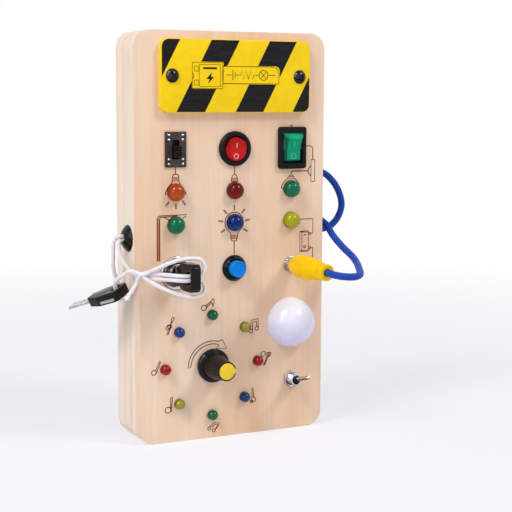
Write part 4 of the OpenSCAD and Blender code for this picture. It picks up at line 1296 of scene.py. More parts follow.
@dataclass
class Case:
    """Laminated wooden case with its back cover, battery box and circuit board.

    A rim is eased where it turns by more than the corner's angle. The seams stay sharp within the hole
    room above and below the side holes. The wall is how high the frames' lower and upper bars are.
    """

    front_ease: float = 0.6
    seam_ease: float = 0.16
    cover_ease: float = 0.12
    half_hollow: float = 41.0
    wall: float = 9.0
    hole_room: float = 6.0
    corner: float = 60.0

    def outside(self, point: Vector) -> bool:
        """Whether a point lies on the outer rim of the case."""
        return abs(point.x) > self.half_hollow or not self.wall <= point.z <= BOARD_H - self.wall

    def on_seam(self, point: Vector) -> bool:
        """Whether a point lies on the outer rim, away from the side holes."""
        return self.outside(point) and abs(point.z - SIDE_HOLE_Z) > self.hole_room

    def on_front(self, point: Vector) -> bool:
        """Whether a point lies on the outer rim of the front face."""
        return self.outside(point) and point.y < FACE_Y + 0.1

    def layers(self) -> None:
        """Builds the front panel and the three frames behind it."""
        bm = packed_copy("front_panel")
        rim = [
            e for e in bm.edges if all(self.on_front(v.co / MM) for v in e.verts) and steep(e, self.corner)
        ]
        soften(bm, rim, self.front_ease * MM, 4)
        put(bm, "front_panel_wood", WOOD_FACE, Body.CASE, replaces=["front_panel"])
        for node, finish in zip(("front_frame", "middle_frame", "rear_frame"), WOOD_LAYERS):
            eased_node(
                node, f"{node}_wood", finish, Body.CASE, self.seam_ease, self.on_seam, self.corner
            )

    def back(self) -> None:
        """Builds the back cover, the battery door and their screws."""
        eased_node("back_cover", "back_cover_panel", WOOD_LAYERS[3], Body.CASE, self.cover_ease)
        eased_node("battery_door", "battery_door_panel", BLACK_MATT, Body.DOOR, self.cover_ease)
        dress_nodes(BLACK_NICKEL, "back_cover_screws")
        dress_nodes(STEEL, "battery_door_screw", "contacts_and_leads", "panel_nuts")

    def inside(self) -> None:
        """Dresses what the case holds."""
        dress_nodes(BLACK_MATT, "battery_box")
        dress_nodes(CELL, "batteries")
        dress_nodes(BOARD, "circuit_board")

    def build(self) -> None:
        """Builds the case from front to back."""
        self.layers()
        self.back()
        self.inside()


# ---- Sign plate ----


@dataclass
class SignPlate:
    """Yellow plate with slanting black bands and a plain fuse box picture.

    The band tops are the bands' left ends at the upper edge, and each band leans as far sideways
    over the plate's height as lean says.
    """

    width: float = 80.0
    height: float = 35.0
    thickness: float = 3.2
    corner: float = 4.0
    z: float = 178.5
    rim_ease: float = 0.35
    screw_x: float = 34.2
    screw_room: float = 2.0
    band_tops: tuple[float, ...] = (-44.9, -13.6, 17.7, 49.0)
    band_w: float = 14.9
    band_inset: float = 0.36
    lean: float = 18.8
    paint: float = 0.05
    mark_t: float = 0.06
    line_w: float = 0.34

    def on_rim(self, point: Vector) -> bool:
        """Whether a point in metres lies on the plate's front."""
        return abs(point.y - (FACE_Y - self.thickness) * MM) < 1e-5

    def by_screw(self, point: Vector) -> bool:
        """Whether a point in millimetres lies by one of the two screws."""
        off_x, off_z = abs(abs(point.x) - self.screw_x), abs(point.z - self.z)
        return off_x < self.screw_room and off_z < self.screw_room

    def plate(self) -> None:
        """Builds the plate with an eased rim."""
        bm = packed_copy("sign_plate")
        rim = [
            e
            for e in bm.edges
            if all(self.on_rim(v.co) for v in e.verts)
            and steep(e, 60)
            and not all(self.by_screw(v.co / MM) for v in e.verts)
        ]
        soften(bm, rim, self.rim_ease * MM, 3)
        put(bm, "sign_plate_yellow", SIGN_YELLOW, Body.CASE, replaces=["sign_plate"])
        dress_nodes(BLACK_NICKEL, "sign_screws")

    def band(self, top_x: float) -> Mesh:
        """Cuts one black band from the plate's outline and thickens it into paint.

        Args:
            top_x: Its left end at the upper edge.

        Returns:
            A closed mesh in local millimetres.
        """
        bm = bmesh.new()
        trim = 2 * self.band_inset
        rounded_face(
            bm, self.width - trim, self.height - trim, self.corner - self.band_inset, self.thickness
        )
        slope = Vector((self.height, -self.lean, 0)).normalized()
        for shift, sign in ((0.0, -1), (self.band_w, 1)):
            bmesh.ops.bisect_plane(
                bm,
                geom=bm.verts[:] + bm.edges[:] + bm.faces[:],
                plane_co=(top_x + shift - self.lean / 2, 0, self.thickness),
                plane_no=slope * sign,
                clear_outer=True,
            )
        thicken(bm, self.paint)
        return bm

    def bands(self) -> None:
        """Paints the black bands."""
        bands = [self.band(top_x) for top_x in self.band_tops]
        put(merged(*bands), "sign_bands", SIGN_BLACK, Body.CASE, facing(0, self.z))

    def fields(self) -> None:
        """Lays two plain yellow fields on the bands, for the fuse box and the circuit."""
        low, high = self.thickness + self.paint - SUNK, self.thickness + 2 * self.paint
        box_field = shifted(slab(16.6, 12.8, 0.5, low, high), -15.9, 0.3, 0)
        strip = shifted(slab(31.2, 8.8, 2.6, low, high), 7.4, 0.6, 0)
        put(merged(box_field, strip), "sign_emblem_field", SIGN_YELLOW, Body.CASE, facing(0, self.z))

    def bolt(self) -> None:
        """Paints the bolt and the bar above it."""
        bolt = bmesh.new()
        outline = [(-13.7, 1.9), (-16.6, -1.4), (-15.0, -1.4), (-15.7, -3.7), (-12.7, -0.4), (-14.3, -0.4)]
        bolt.faces.new([bolt.verts.new((x, z, 0)) for x, z in outline])
        bar = bmesh.new()
        bmesh.ops.create_grid(bar, x_segments=1, y_segments=1, size=0.5)
        bmesh.ops.scale(bar, vec=(7.2, 0.9, 1), verts=bar.verts)
        mark = merged(bolt, shifted(bar, -14.7, 3.7, 0))
        thicken(mark, self.mark_t)
        shifted(mark, 0, 0, self.thickness + 2 * self.paint)
        put(mark, "sign_bolt", SIGN_LINE, Body.CASE, facing(0, self.z))

    def circuit(self) -> None:
        """Draws the fuse box and a circuit of a cell, a resistor and a lamp."""
        z = self.z
        lines = [
            box(-24.0, z - 5.9, -8.0, z + 6.4),
            box(-20.4, z - 5.0, -9.2, z + 5.4),
            box(-23.0, z + 2.2, -20.9, z + 4.6),
            box(-23.0, z - 4.4, -20.9, z - 2.0),
            Line([(-24.0, z + 1.4), (-23.4, z + 1.0), (-23.4, z - 1.0), (-24.0, z - 1.4)]),
            Line(
                [
                    (-8.0, z + 4.7), (19.5, z + 4.7), (21.6, z + 3.8), (22.6, z + 1.6), (22.4, z - 3.5),
                    (-8.0, z - 3.5),
                ]
            ),
            Line([(-6.0, z + 0.6), (-2.6, z + 0.6)]),
            Line([(-2.6, z + 3.0), (-2.6, z - 1.8)]),
            Line([(-1.4, z + 1.9), (-1.4, z - 0.7)]),
            Line(
                [
                    (-1.4, z + 0.6), (1.6, z + 0.6), (2.2, z + 2.6), (3.4, z - 1.4), (4.6, z + 2.6),
                    (5.8, z - 1.4),
                ]
            ),
            Line([(5.8, z - 1.4), (7.0, z + 2.6), (8.2, z - 1.4), (8.8, z + 0.6), (11.6, z + 0.6)]),
            ring(14.0, z + 0.6, 2.4),
            Line([(12.3, z + 2.3), (15.7, z - 1.1)]),
            Line([(12.3, z - 1.1), (15.7, z + 2.3)]),
            Line([(16.4, z + 0.6), (20.4, z + 0.6)]),
        ]
        level = FACE_Y - self.thickness - 2 * self.paint
        draw(lines, "sign_lines", SIGN_LINE, Body.CASE, self.line_w, level)

    def build(self) -> None:
        """Builds the plate and what is painted on it."""
        self.plate()
        self.bands()
        self.fields()
        self.bolt()
        self.circuit()


# ---- Lines burnt into the panel ----


@dataclass
class BurntPictures:
    """Thin brown line pictures of bulbs, wires, notes and a turning arrow.

    The arrow's radius is given sideways and upwards.
    """

    width: float = 0.5
    post_w: float = 1.1
    thread_w: float = 1.5
    ray_from: float = 6.2
    ray_to: float = 8.5
    ray_half: float = 0.24
    arrow_r: Flat = (12.9, 12.6)
    arrow_w: float = 1.5

    @staticmethod
    def hatch(low_x: float, low_z: float, high_x: float, high_z: float) -> list[Line]:
        """A band with a level stroke along its middle, as on a bulb's thread."""
        middle = low_z + (high_z - low_z) / 2
        return [box(low_x, low_z, high_x, high_z), Line([(low_x, middle), (high_x, middle)])]

    def ray(self, start: Flat, end: Flat) -> Line:
        """A short double stroke.

        Args:
            start: Place of its first end.
            end: Place of its other end.

        Returns:
            The line, closed round both strokes.
        """
        (x, z), (to_x, to_z) = start, end
        side = Vector((z - to_z, to_x - x)).normalized() * self.ray_half
        return Line(
            [
                (x + side.x, z + side.y),
                (to_x + side.x, to_z + side.y),
                (to_x - side.x, to_z - side.y),
                (x - side.x, z - side.y),
            ],
            closed=True,
        )

    def left_column(self) -> list[Line]:
        """Lines of the slide switch, the amber bulb and the street lamp."""
        return [
            Line([(-31.4, 135.0), (-31.4, 131.6)]),
            Line(
                [
                    (-32.9, 130.1), (-32.9, 131.2), (-32.4, 131.6), (-30.4, 131.6), (-29.9, 131.2),
                    (-29.9, 130.1),
                ]
            ),
            *self.hatch(-33.2, 128.5, -29.6, 130.1),
            Line(
                [
                    (-33.1, 128.5), (-33.2, 127.6), (-34.4, 126.4), (-35.7, 124.9), (-36.5, 123.3),
                    (-36.9, 122.2),
                ],
                smooth=True,
            ),
            Line([(-36.9, 122.2), (-36.2, 122.1)]),
            Line(
                [
                    (-29.7, 128.5), (-29.6, 127.6), (-28.4, 126.3), (-27.1, 124.9), (-26.3, 123.4),
                    (-25.9, 122.1),
                ],
                smooth=True,
            ),
            Line([(-25.9, 122.1), (-26.6, 122.0)]),
            self.ray((-34.9, 118.5), (-36.3, 116.7)),
            self.ray((-31.3, 117.1), (-31.2, 115.1)),
            self.ray((-27.7, 118.8), (-26.4, 116.8)),
            Line([(-39.0, 111.9), (-26.0, 112.1), (-26.0, 111.2), (-27.6, 110.3)]),
            Line([(-37.7, 111.4), (-35.0, 109.8)]),
            Line([(-39.0, 111.2), (-35.2, 111.3), (-30.4, 111.6)]),
            Line([(-41.0, 90.0), (-41.0, 110.2), (-40.7, 111.2), (-39.9, 111.8), (-39.0, 111.9)]),
            Line([(-39.7, 90.0), (-39.7, 110.4), (-39.5, 111.0), (-39.0, 111.2)]),
        ]

    def middle_column(self) -> list[Line]:
        """Lines of the round rocker, the red bulb, the shining blue bulb and the push button.

        Returns:
            The column's lines.
        """
        angles, lamp = (-33, 7, 48, 90, 132, 173, 213), (0.0, LOWER_LAMP_Z)
        rays = zip(arc(self.ray_from, angles, lamp), arc(self.ray_to, angles, lamp))
        return [
            Line([(0.05, 135.0), (0.05, 131.1)]),
            Line([(-1.4, 129.1), (-1.2, 130.2), (0.05, 131.1), (1.3, 130.2), (1.5, 129.1)]),
            *self.hatch(-1.7, 127.5, 1.8, 129.1),
            ring(0.0, LOWER_LAMP_Z, 5.1, -52, 284),
            Line([(-3.1, 103.2), (-1.9, 101.7), (-1.8, 100.7)]),
            Line([(3.1, 103.2), (1.9, 101.7), (1.8, 100.7)]),
            *self.hatch(-1.9, 99.2, 1.9, 100.7),
            Line([(-1.5, 99.2), (-1.2, 98.1), (1.2, 98.1), (1.5, 99.2)]),
            Line([(0.0, 98.1), (0.0, 91.6)]),
            *(self.ray(start, end) for start, end in rays),
        ]

    def right_column(self) -> list[Line]:
        """Lines of the square rocker, the hanging lamp, the small switch picture and the jack."""
        return [
            Line([(39.5, 144.3), (42.3, 144.3), (43.4, 143.7), (43.9, 142.7), (43.9, 137.3)]),
            box(43.0, 126.3, 45.1, 137.3),
            Line(
                [(43.0, 134.5), (41.9, 133.3), (41.3, 132.2), (41.3, 131.2), (41.9, 130.2), (43.0, 129.1)],
                smooth=True,
            ),
            Line([(41.3, 131.7), (32.7, 131.8), (31.8, 131.4), (31.6, 130.2)]),
            Line([(30.4, 129.1), (30.7, 129.9), (32.5, 129.9), (32.8, 129.1)]),
            Line([(29.6, 128.1), (30.2, 129.1), (33.0, 129.1), (33.6, 128.1)], closed=True),
            Line([(29.6, 128.1), (27.9, 126.9), (26.7, 125.3), (26.0, 123.4)], smooth=True),
            Line([(26.0, 123.4), (26.9, 123.2)]),
            Line([(33.6, 128.1), (35.2, 126.8), (36.4, 125.0)], smooth=True),
            Line([(36.4, 107.4), (44.4, 107.4), (44.4, 100.0), (43.1, 99.9)]),
            box(38.1, 91.5, 41.9, 100.7),
            Line([(38.1, 91.5), (36.9, 91.0), (36.9, 101.1), (38.1, 100.7)]),
            Line([(36.9, 101.1), (41.4, 101.3), (41.9, 100.7)]),
            Line([(36.9, 91.0), (41.4, 90.9), (41.9, 91.5)]),
            Line([(39.0, 99.3), (40.6, 99.3)]),
            ring(39.8, 93.3, 0.6, count=14),
            ring(42.6, 99.9, 0.62, count=14),
            ring(42.6, 92.6, 0.62, count=14),
            Line([(43.2, 92.6), (44.4, 92.6), (44.4, 87.2)]),
            Line([(31.2, 153.9), (31.2, 154.8), (31.9, 154.8), (31.9, 153.9)]),
        ]

    @staticmethod
    def notes() -> list[Line]:
        """Music notes by the small lamps."""
        return [
            ring(-16.4, 65.7, 1.35, count=16),
            Line(
                [(-15.4, 66.7), (-13.4, 68.0), (-11.4, 70.2), (-10.9, 69.4), (-11.0, 67.5), (-11.6, 66.0)],
                smooth=True,
            ),
            Line([(-14.9, 65.9), (-13.2, 67.2), (-12.2, 68.6), (-11.9, 67.2), (-11.6, 66.0)], smooth=True),
            ring(9.5, 52.1, 0.95, count=14),
            ring(12.7, 53.3, 0.95, count=14),
            Line([(9.3, 53.0), (9.6, 57.5), (13.4, 58.3), (13.6, 53.6)]),
            Line([(10.3, 52.7), (10.5, 56.5), (12.7, 56.9), (12.6, 54.3)]),
            Line(
                [(18.3, 39.9), (17.4, 41.2), (16.0, 41.2), (15.1, 40.1), (15.5, 38.7), (17.0, 38.4)],
                smooth=True,
            ),
            Line([(18.3, 39.9), (20.4, 40.9), (20.9, 39.6), (20.0, 38.2), (19.0, 38.4)], smooth=True),
            Line([(16.6, 33.9), (19.0, 39.3), (19.9, 40.1)]),
            Line([(17.2, 34.0), (19.5, 38.9), (20.2, 39.5)]),
            Line([(16.9, 40.0), (18.2, 38.9)]),
            Line([(10.2, 18.3), (10.3, 22.9), (10.8, 22.9), (11.2, 18.2)]),
            ring(11.0, 17.0, 1.25, count=16),
            ring(10.0, 16.0, 0.7, count=12),
            ring(-13.5, 4.7, 0.8, count=12),
            ring(-11.0, 3.5, 0.8, count=12),
            Line([(-13.2, 5.5), (-11.0, 7.4), (-8.0, 7.0), (-8.6, 5.6), (-10.2, 3.7)]),
            Line([(-12.0, 5.2), (-10.6, 6.5), (-8.6, 6.4), (-10.0, 4.2)]),
            ring(-35.7, 16.4, 1.5, count=16),
            Line([(-34.3, 17.0), (-34.2, 22.2), (-33.6, 22.8), (-33.3, 22.0), (-34.0, 15.5)]),
            ring(-43.1, 35.7, 1.2, count=16),
            Line([(-42.2, 36.6), (-40.0, 41.0), (-39.5, 40.7), (-41.8, 35.4)]),
            Line(
                [
                    (-35.9, 53.9), (-36.4, 54.8), (-35.2, 55.0), (-34.5, 56.4), (-33.4, 57.8), (-34.4, 58.8),
                    (-36.0, 58.4), (-36.8, 57.0), (-36.0, 55.9), (-34.9, 56.4), (-34.6, 57.6), (-33.4, 59.9),
                    (-32.2, 61.4), (-32.5, 62.3), (-33.5, 62.0), (-33.9, 60.2), (-34.6, 56.8), (-35.2, 54.4),
                    (-35.7, 53.6),
                ],
                smooth=True,
            ),
            ring(-34.9, 57.5, 0.8, count=12),
        ]

    def arrow(self) -> list[Line]:
        """Curved arrow over the selector.

        Returns:
            One closed outline in a list.
        """
        middle = (SELECTOR_AT[0], SELECTOR_AT[1] - 0.5)
        wide, tall = self.arrow_r
        outer = arc(wide, range(180, 68, -7), middle, tall)
        inner = arc(wide - self.arrow_w, range(72, 184, 7), middle, tall - self.arrow_w)
        head = [(-6.3, 49.0), (-4.0, 44.5), (-9.7, 44.8), (-8.4, 46.1)]
        return [Line(outer + head + inner, closed=True)]

    def build(self) -> None:
        """Draws every picture."""
        post = [Line([(-40.35, 90.2), (-40.35, 110.9)])]
        threads = [
            Line([(low_x, z), (high_x, z)])
            for low_x, high_x, z in ((-33.2, -29.6, 129.3), (-1.7, 1.8, 128.3), (-1.9, 1.9, 99.95))
        ]
        draw(post, "burnt_post", SCORCHED, Body.CASE, self.post_w, FACE_Y + 0.1)
        draw(threads, "burnt_threads", SCORCHED, Body.CASE, self.thread_w, FACE_Y + 0.17)
        for name, lines in (
            ("burnt_lines_left", self.left_column()),
            ("burnt_lines_middle", self.middle_column()),
            ("burnt_lines_right", self.right_column()),
            ("burnt_notes", self.notes()),
            ("burnt_arrow", self.arrow()),
        ):
            draw(lines, name, BURNT, Body.CASE, self.width)


# ---- Switches ----


@dataclass
class SlideSwitch:
    """Small slide switch on a dark plate with bright rivets."""

    rivet_r: float = 0.68
    rivet_h: float = 0.42
    rivet_x: float = 3.6
    rivet_z: tuple[float, ...] = (-6.9, -4.7, 4.7, 6.9)
    plate_t: float = 0.8

    def rivet(self, x: float, z: float) -> Mesh:
        """One round rivet head, sunk a little into the plate."""
        crown = arc(self.rivet_r, range(0, 91, 15), tall=self.rivet_h)
        return shifted(turned([(0, -0.1), (self.rivet_r, -0.1), *crown], 24), x, z, self.plate_t)

    def build(self) -> None:
        """Builds the plate, its rivets and the ribbed slider."""
        eased_node("slide_switch_housing", "slide_switch_plate", PLATE, Body.CASE, 0.14)
        heads = [self.rivet(x, z) for x in (-self.rivet_x, self.rivet_x) for z in self.rivet_z]
        put(merged(*heads), "slide_switch_rivets", CHROME, Body.CASE, facing(-COLUMN_X, SWITCH_Z))
        eased_node("slide_switch_slider", "slide_switch_knob", BLACK_MATT, Body.SLIDER, 0.1)


@dataclass
class RockerSwitch:
    """Rocker in a black bezel with a stroke and a ring on its faces.

    The valley is how far the fold between its two faces lies in front of the pivot. The stroke stands
    above the fold and the ring below it, and the tilt is half of the throw.
    """

    name: str
    x: float
    finish: Finish
    mark: Finish
    body: Body
    valley: float
    stroke_at: float
    ring_at: float
    ring_r: float = 1.45
    stroke_turn: float = 0.0
    ring_w: float = 0.2
    stroke_w: float = 0.23
    stroke_h: float = 2.6
    mark_t: float = 0.05
    tilt: float = 11.0
    pivot: float = 0.5

    def on_face(self, distance: float) -> Matrix:
        """Matrix of a spot on the rocker's face.

        Args:
            distance: How far it lies above the fold, or below it where negative.

        Returns:
            A matrix whose local z points out of that face.
        """
        lean = math.radians(self.tilt)
        return (
            facing(self.x, SWITCH_Z)
            @ Matrix.Translation((0, 0, self.pivot))
            @ Matrix.Rotation(lean, 4, "X")
            @ Matrix.Translation((0, 0, self.valley))
            @ Matrix.Rotation(math.copysign(lean, distance), 4, "X")
            @ Matrix.Translation((0, distance, 0))
        )

    def build(self) -> None:
        """Builds the bezel, the rocker and its marks."""
        eased_node(f"{self.name}_rocker_housing", f"{self.name}_rocker_bezel", BLACK_MATT, Body.CASE, 0.28)
        eased_node(f"{self.name}_rocker_button", f"{self.name}_rocker", self.finish, self.body, 0.4)
        stroke = slab(self.stroke_w, self.stroke_h, 0.1, -SUNK, self.mark_t)
        upright = Matrix.Rotation(math.radians(self.stroke_turn), 4, "Z")
        place = self.on_face(self.stroke_at) @ upright
        put(stroke, f"{self.name}_rocker_stroke", self.mark, self.body, place)
        inner, outer = self.ring_r - self.ring_w, self.ring_r
        band = turned(
            [(inner, -SUNK), (outer, -SUNK), (outer, self.mark_t), (inner, self.mark_t), (inner, -SUNK)], 48
        )
        put(band, f"{self.name}_rocker_ring", self.mark, self.body, self.on_face(self.ring_at))


@dataclass
class PushButton:
    """Round push button with a bright cap in a black ring.

    Ends and levels count out of the panel's face, and those behind it are negative.
    """

    z: float = 84.6
    cap_r: float = 4.1
    cap_out: float = 5.8
    bezel_r: float = 6.5
    barrel_r: float = 5.6
    barrel_end: float = -18.0
    well_end: float = -10.5
    gap: float = 0.06

    def build(self) -> None:
        """Builds the ring, the cap and dresses the spring."""
        hole_r, place = self.cap_r + self.gap, facing(0, self.z)
        bezel = [
            (0, self.barrel_end), (self.barrel_r, self.barrel_end), (self.barrel_r, 0), (self.bezel_r, 0),
            (self.bezel_r, 0.6), (self.cap_r + 1.08, 2.58), (self.cap_r + 0.5, 2.4), (hole_r, 1.6),
            (hole_r, self.well_end), (0, self.well_end),
        ]
        put(turned(eased(bezel, 0.22)), "button_ring", BLACK_GLOSS, Body.CASE, place, ["button_housing"])
        top = self.cap_out
        cap = [
            (0, -5), (self.cap_r, -5), (self.cap_r, top), (self.cap_r - 0.85, top),
            (self.cap_r - 1.05, top - 0.28), (0, top - 0.22),
        ]
        put(turned(eased(cap, 0.45)), "button_blue_cap", BLUE_CAP, Body.BUTTON, place, ["button_cap"])
        dress_nodes(STEEL, "button_spring")


# ---- Lamps ----


@dataclass
class Lamps:
    """Large and small tinted lamps and the white round lamp.

    A lens stands straight as far as out says, and its rim behind the panel has a width and a thickness.
    """

    large_r: float = 4.3
    small_r: float = 2.6
    out: float = 1.2
    foot: float = -7.0
    rim: Flat = (0.6, 1.2)
    ring_r: float = 25.2
    dome_r: float = 12.7
    dome_z: float = 55.2
    dome_wall: float = 1.4
    neck_r: float = 10.6

    def lens(self, radius: float) -> Mesh:
        """A lens with its rim behind the panel, its barrel and its round end.

        Args:
            radius: Its radius.

        Returns:
            A closed mesh in local millimetres.
        """
        rim_r, rim_top = radius + self.rim[0], self.foot + self.rim[1]
        foot = [(0, self.foot), (rim_r, self.foot), (rim_r, rim_top), (radius, rim_top)]
        return turned(foot + arc(radius, range(0, 91, 5), (0, self.out)), 72)

    def group(self, name: str, node: str, finish: Finish, radius: float, places: Sequence[Flat]) -> None:
        """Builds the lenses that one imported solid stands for.

        Args:
            name: Name of the piece.
            node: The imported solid.
            finish: Finish of the lenses.
            radius: Radius of the lenses.
            places: Sideways place and height of each lens.
        """
        parts = []
        for x, z in places:
            part = self.lens(radius)
            bmesh.ops.transform(part, matrix=facing(x, z), verts=part.verts)
            parts.append(part)
        put(merged(*parts), name, finish, Body.CASE, replaces=[node])

    def on_ring(self, *steps: int) -> list[Flat]:
        """Places of small lamps, counted in eighths from the top to the right."""
        return arc(self.ring_r, [90 - 45 * i for i in steps], SELECTOR_AT)

    def dome(self) -> None:
        """Builds the frosted round lamp as a hollow shell."""
        wall, neck, back = self.dome_wall, self.neck_r, self.foot
        outer = arc(self.dome_r, range(0, 91, 3))
        inner = arc(self.dome_r - wall, range(90, 6, -3))
        profile = [(neck - wall, wall), (neck - wall, back), (neck, back), (neck, 0)]
        shell = turned([*outer, *inner, *profile, outer[0]], 128)
        put(shell, "round_lamp_dome", DOME_WHITE, Body.CASE, facing(COLUMN_X, self.dome_z), ["lamp_dome"])

    def build(self) -> None:
        """Builds every lamp."""
        x, up, low = COLUMN_X, UPPER_LAMP_Z, LOWER_LAMP_Z
        for name, node, finish, places in (
            ("amber_lamp", "amber_led", AMBER, [(-x, up)]),
            ("red_lamp", "red_led", RED, [(0, up)]),
            ("blue_lamp", "blue_led", BLUE, [(0, low)]),
            ("green_lamps", "green_leds", GREEN, [(x, up), (-x, low)]),
            ("lime_lamp", "lime_led", LIME, [(x, low)]),
        ):
            self.group(name, node, finish, self.large_r, places)
        for i, (colour, finish) in enumerate(SMALL_LENSES.items()):
            places = self.on_ring(i, i + 4)
            self.group(f"small_{colour}_lamps", f"ring_leds_{colour}", finish, self.small_r, places)
        self.dome()


# ---- Key lock ----


def key_edge_strip(name: str, body: Body, shoulder: Matrix) -> None:
    """Lays a thin steel strip along the edge of a key's head.

    Args:
        name: Name of the piece.
        body: Body that it rides on.
        shoulder: Place of the key in millimetres, with its blade along y and the edge at +z.
    """
    strip = shifted(slab(1.4, 8.4, 0.3, -0.4, 0.05), -1.0, -13.0, KEY_HALF)
    put(strip, name, STEEL, body, Matrix.Scale(MM, 4) @ shoulder)


@dataclass
class KeyLock:
    """Chrome lock with a turning cylinder, its key and a red dot.

    Ends and levels count out of the panel's face, and those behind it are negative.
    """

    z: float = 84.0
    bezel_r: float = 8.2
    bezel_t: float = 2.6
    core_r: float = 4.6
    gap: float = 0.06
    barrel_r: float = 6.0
    barrel_end: float = -14.0
    well_end: float = -12.4
    dot_at: Place = (0.3, -5.95, 1.85)
    dot_lean: float = -39.0
    shoulder_y: float = -20.3

    def bezel(self) -> None:
        """Builds the bezel with its barrel and the hole for the cylinder."""
        hole_r = self.core_r + self.gap
        profile = [
            (0, self.barrel_end), (self.barrel_r, self.barrel_end), (self.barrel_r, 0), (self.bezel_r, 0),
            (self.bezel_r, self.bezel_t), (6.9, self.bezel_t), (hole_r, 0.8), (hole_r, self.well_end),
            (0, self.well_end),
        ]
        place = facing(-COLUMN_X, self.z)
        put(turned(eased(profile, 0.5)), "lock_bezel", CHROME, Body.CASE, place, ["lock_housing"])

    def dot(self) -> None:
        """Paints the red dot on the bezel."""
        dot = turned([(0, -0.15), (0.66, -0.15), (0.66, 0.04), (0.4, 0.12), (0, 0.14)], 32)
        slope = Matrix.Translation(self.dot_at) @ Matrix.Rotation(math.radians(self.dot_lean), 4, "X")
        put(dot, "lock_dot", DOT_RED, Body.CASE, facing(-COLUMN_X, self.z) @ slope)

    def build(self) -> None:
        """Builds the bezel, the cylinder, the dot and the key."""
        self.bezel()
        eased_node("lock_cylinder", "lock_core", CHROME, Body.LOCK, 0.16)
        self.dot()
        eased_node("key_head", "key_head_black", KEY_BLACK, Body.KEY, 0.45)
        eased_node("key_blade", "key_blade_steel", STEEL, Body.KEY, 0.07)
        turn = Matrix.Rotation(math.pi, 4, "Y")
        shoulder = Matrix.Translation((-COLUMN_X, self.shoulder_y, self.z)) @ turn
        key_edge_strip("key_head_strip", Body.KEY, shoulder)


# ---- Patch cable ----


@dataclass
class PatchCable:
    """Blue braided cable from the side grommet to a yellow plug in the chrome jack.

    Along the grip, levels count from its front towards the cable. The sleeve is the metal one before it.
    """

    route: tuple[Place, ...] = (
        (44, 0.5, 100), (50, 0.5, 100), (57.5, 0.5, 100), (63, 0, 101.5), (67.5, 0, 105.5), (70, 0, 112),
        (69.5, 2, 119), (66.5, 4, 125), (62.5, 7, 129), (58, 11, 128.5), (54.5, 13, 123.5), (53.5, 11, 117),
        (54, 6.5, 111), (55.5, 0, 106.5), (57, -7, 103), (57, -14, 98), (58, -22, 93), (58.5, -31, 89),
        (56.4, -39, 86.6), (52.8, -46.5, 85.6), (48.8, -54.2, 84.9), (44.6, -60.6, 84.2), (39.4, -63.6, 84),
        (34.4, -62, 84.3), (31.7, -57.4, 84.8), (31.5, -53.5, 85), (31.5, -49.7, 85),
    )
    radius: float = 1.8
    plug_z: float = 85.0
    plug_face: float = 1.9
    sleeve: float = 4.2
    hole_r: float = 1.8
    jack_r: float = 4.0
    belly_r: float = 5.9
    groove: float = 0.5
    groove_pitch: float = 1.7
    groove_start: float = 14.6
    groove_end: float = 25.0
    tail_r: float = 4.5
    collar_r: float = 4.1

    def cable(self) -> None:
        """Builds the cable as one length between its two packed stretches."""
        cord = Cord("patch_cable", self.route, self.radius, CABLE_BLUE)
        piece = cord.build(["cable", "cable_lead"])
        cord.declare(piece, (53.5, 0.5, 100), "plug", "medium", ["plug_yellow_grip"])
        bend(piece)

    def jack(self) -> None:
        """Builds the chrome ring of the jack."""
        ring_r, hole_r = self.jack_r, self.hole_r
        profile = [
            (hole_r, -14), (ring_r - 0.1, -14), (ring_r - 0.1, 0), (ring_r, 0), (ring_r, 1.6),
            (2.9, 1.6), (2.5, 1.2), (hole_r, 1.2), (hole_r, -14),
        ]
        place = facing(COLUMN_X, self.plug_z)
        put(turned(eased(profile, 0.25), 72), "jack_ring", CHROME, Body.CASE, place, ["jack_socket"])

    def belly(self) -> list[Flat]:
        """Outline of the smooth part of the grip.

        Returns:
            Radius and height of its points, from the hole for the pin to the first groove.
        """
        neck, swell, rise = 4.6, self.belly_r - 4.6, 7.0
        curve = [
            (neck + swell * math.sin(math.radians(angle)), 0.5 + rise * angle / 90)
            for angle in range(15, 91, 15)
        ]
        start = [(1.75, 8.0), (1.75, 0.0), (3.9, 0.0), (neck, 0.5)]
        return [*start, *curve, (self.belly_r, 10.5), (5.84, 13.0), (5.76, self.groove_start - 0.4)]

    def grooves(self) -> list[Flat]:
        """Outline of the grooved part of the grip.

        Returns:
            Radius and height of its points, groove after groove towards the cable.
        """
        points = []
        first_r = 5.7
        count = int((self.groove_end - self.groove_start) / self.groove_pitch)
        for i in range(count):
            low = self.groove_start + i * self.groove_pitch
            radius = first_r - (first_r - self.tail_r) * (i + 0.5) / count
            bottom = radius - self.groove
            points += [(radius + 0.02, low + 0.1), (bottom, low + 0.38), (bottom, low + 0.78)]
            points += [(radius, low + 1.06), (radius - 0.04, low + self.groove_pitch - 0.1)]
        return points

    def collar(self) -> list[Flat]:
        """Outline of the collar that holds the cable.

        Returns:
            Radius and height of its points, back to the hole for the pin.
        """
        end, bore_r = self.groove_end, 1.86
        return [
            (4.4, end), (self.collar_r, end + 0.5), (self.collar_r, end + 6.0), (3.6, end + 6.5),
            (bore_r, end + 6.5), (bore_r, end + 3.5), (0, end + 3.5), (0, 8.0), (1.75, 8.0),
        ]

    def plug(self) -> None:
        """Builds the pin and the turned yellow grip."""
        eased_node("plug_tip", "plug_tip_steel", STEEL, Body.PLUG, 0.12)
        grip = turned(self.belly() + self.grooves() + eased(self.collar(), 0.35))
        out = Matrix.Translation((0, 0, self.plug_face + self.sleeve))
        place = facing(COLUMN_X, self.plug_z) @ out
        put(grip, "plug_yellow_grip", GRIP_YELLOW, Body.PLUG, place, ["plug_grip"])

    def build(self) -> None:
        """Builds the jack, the plug, the cable on it and the grommet."""
        self.jack()
        self.plug()
        self.cable()
        Grommet(1, 1.86, "cable_grommet").build()


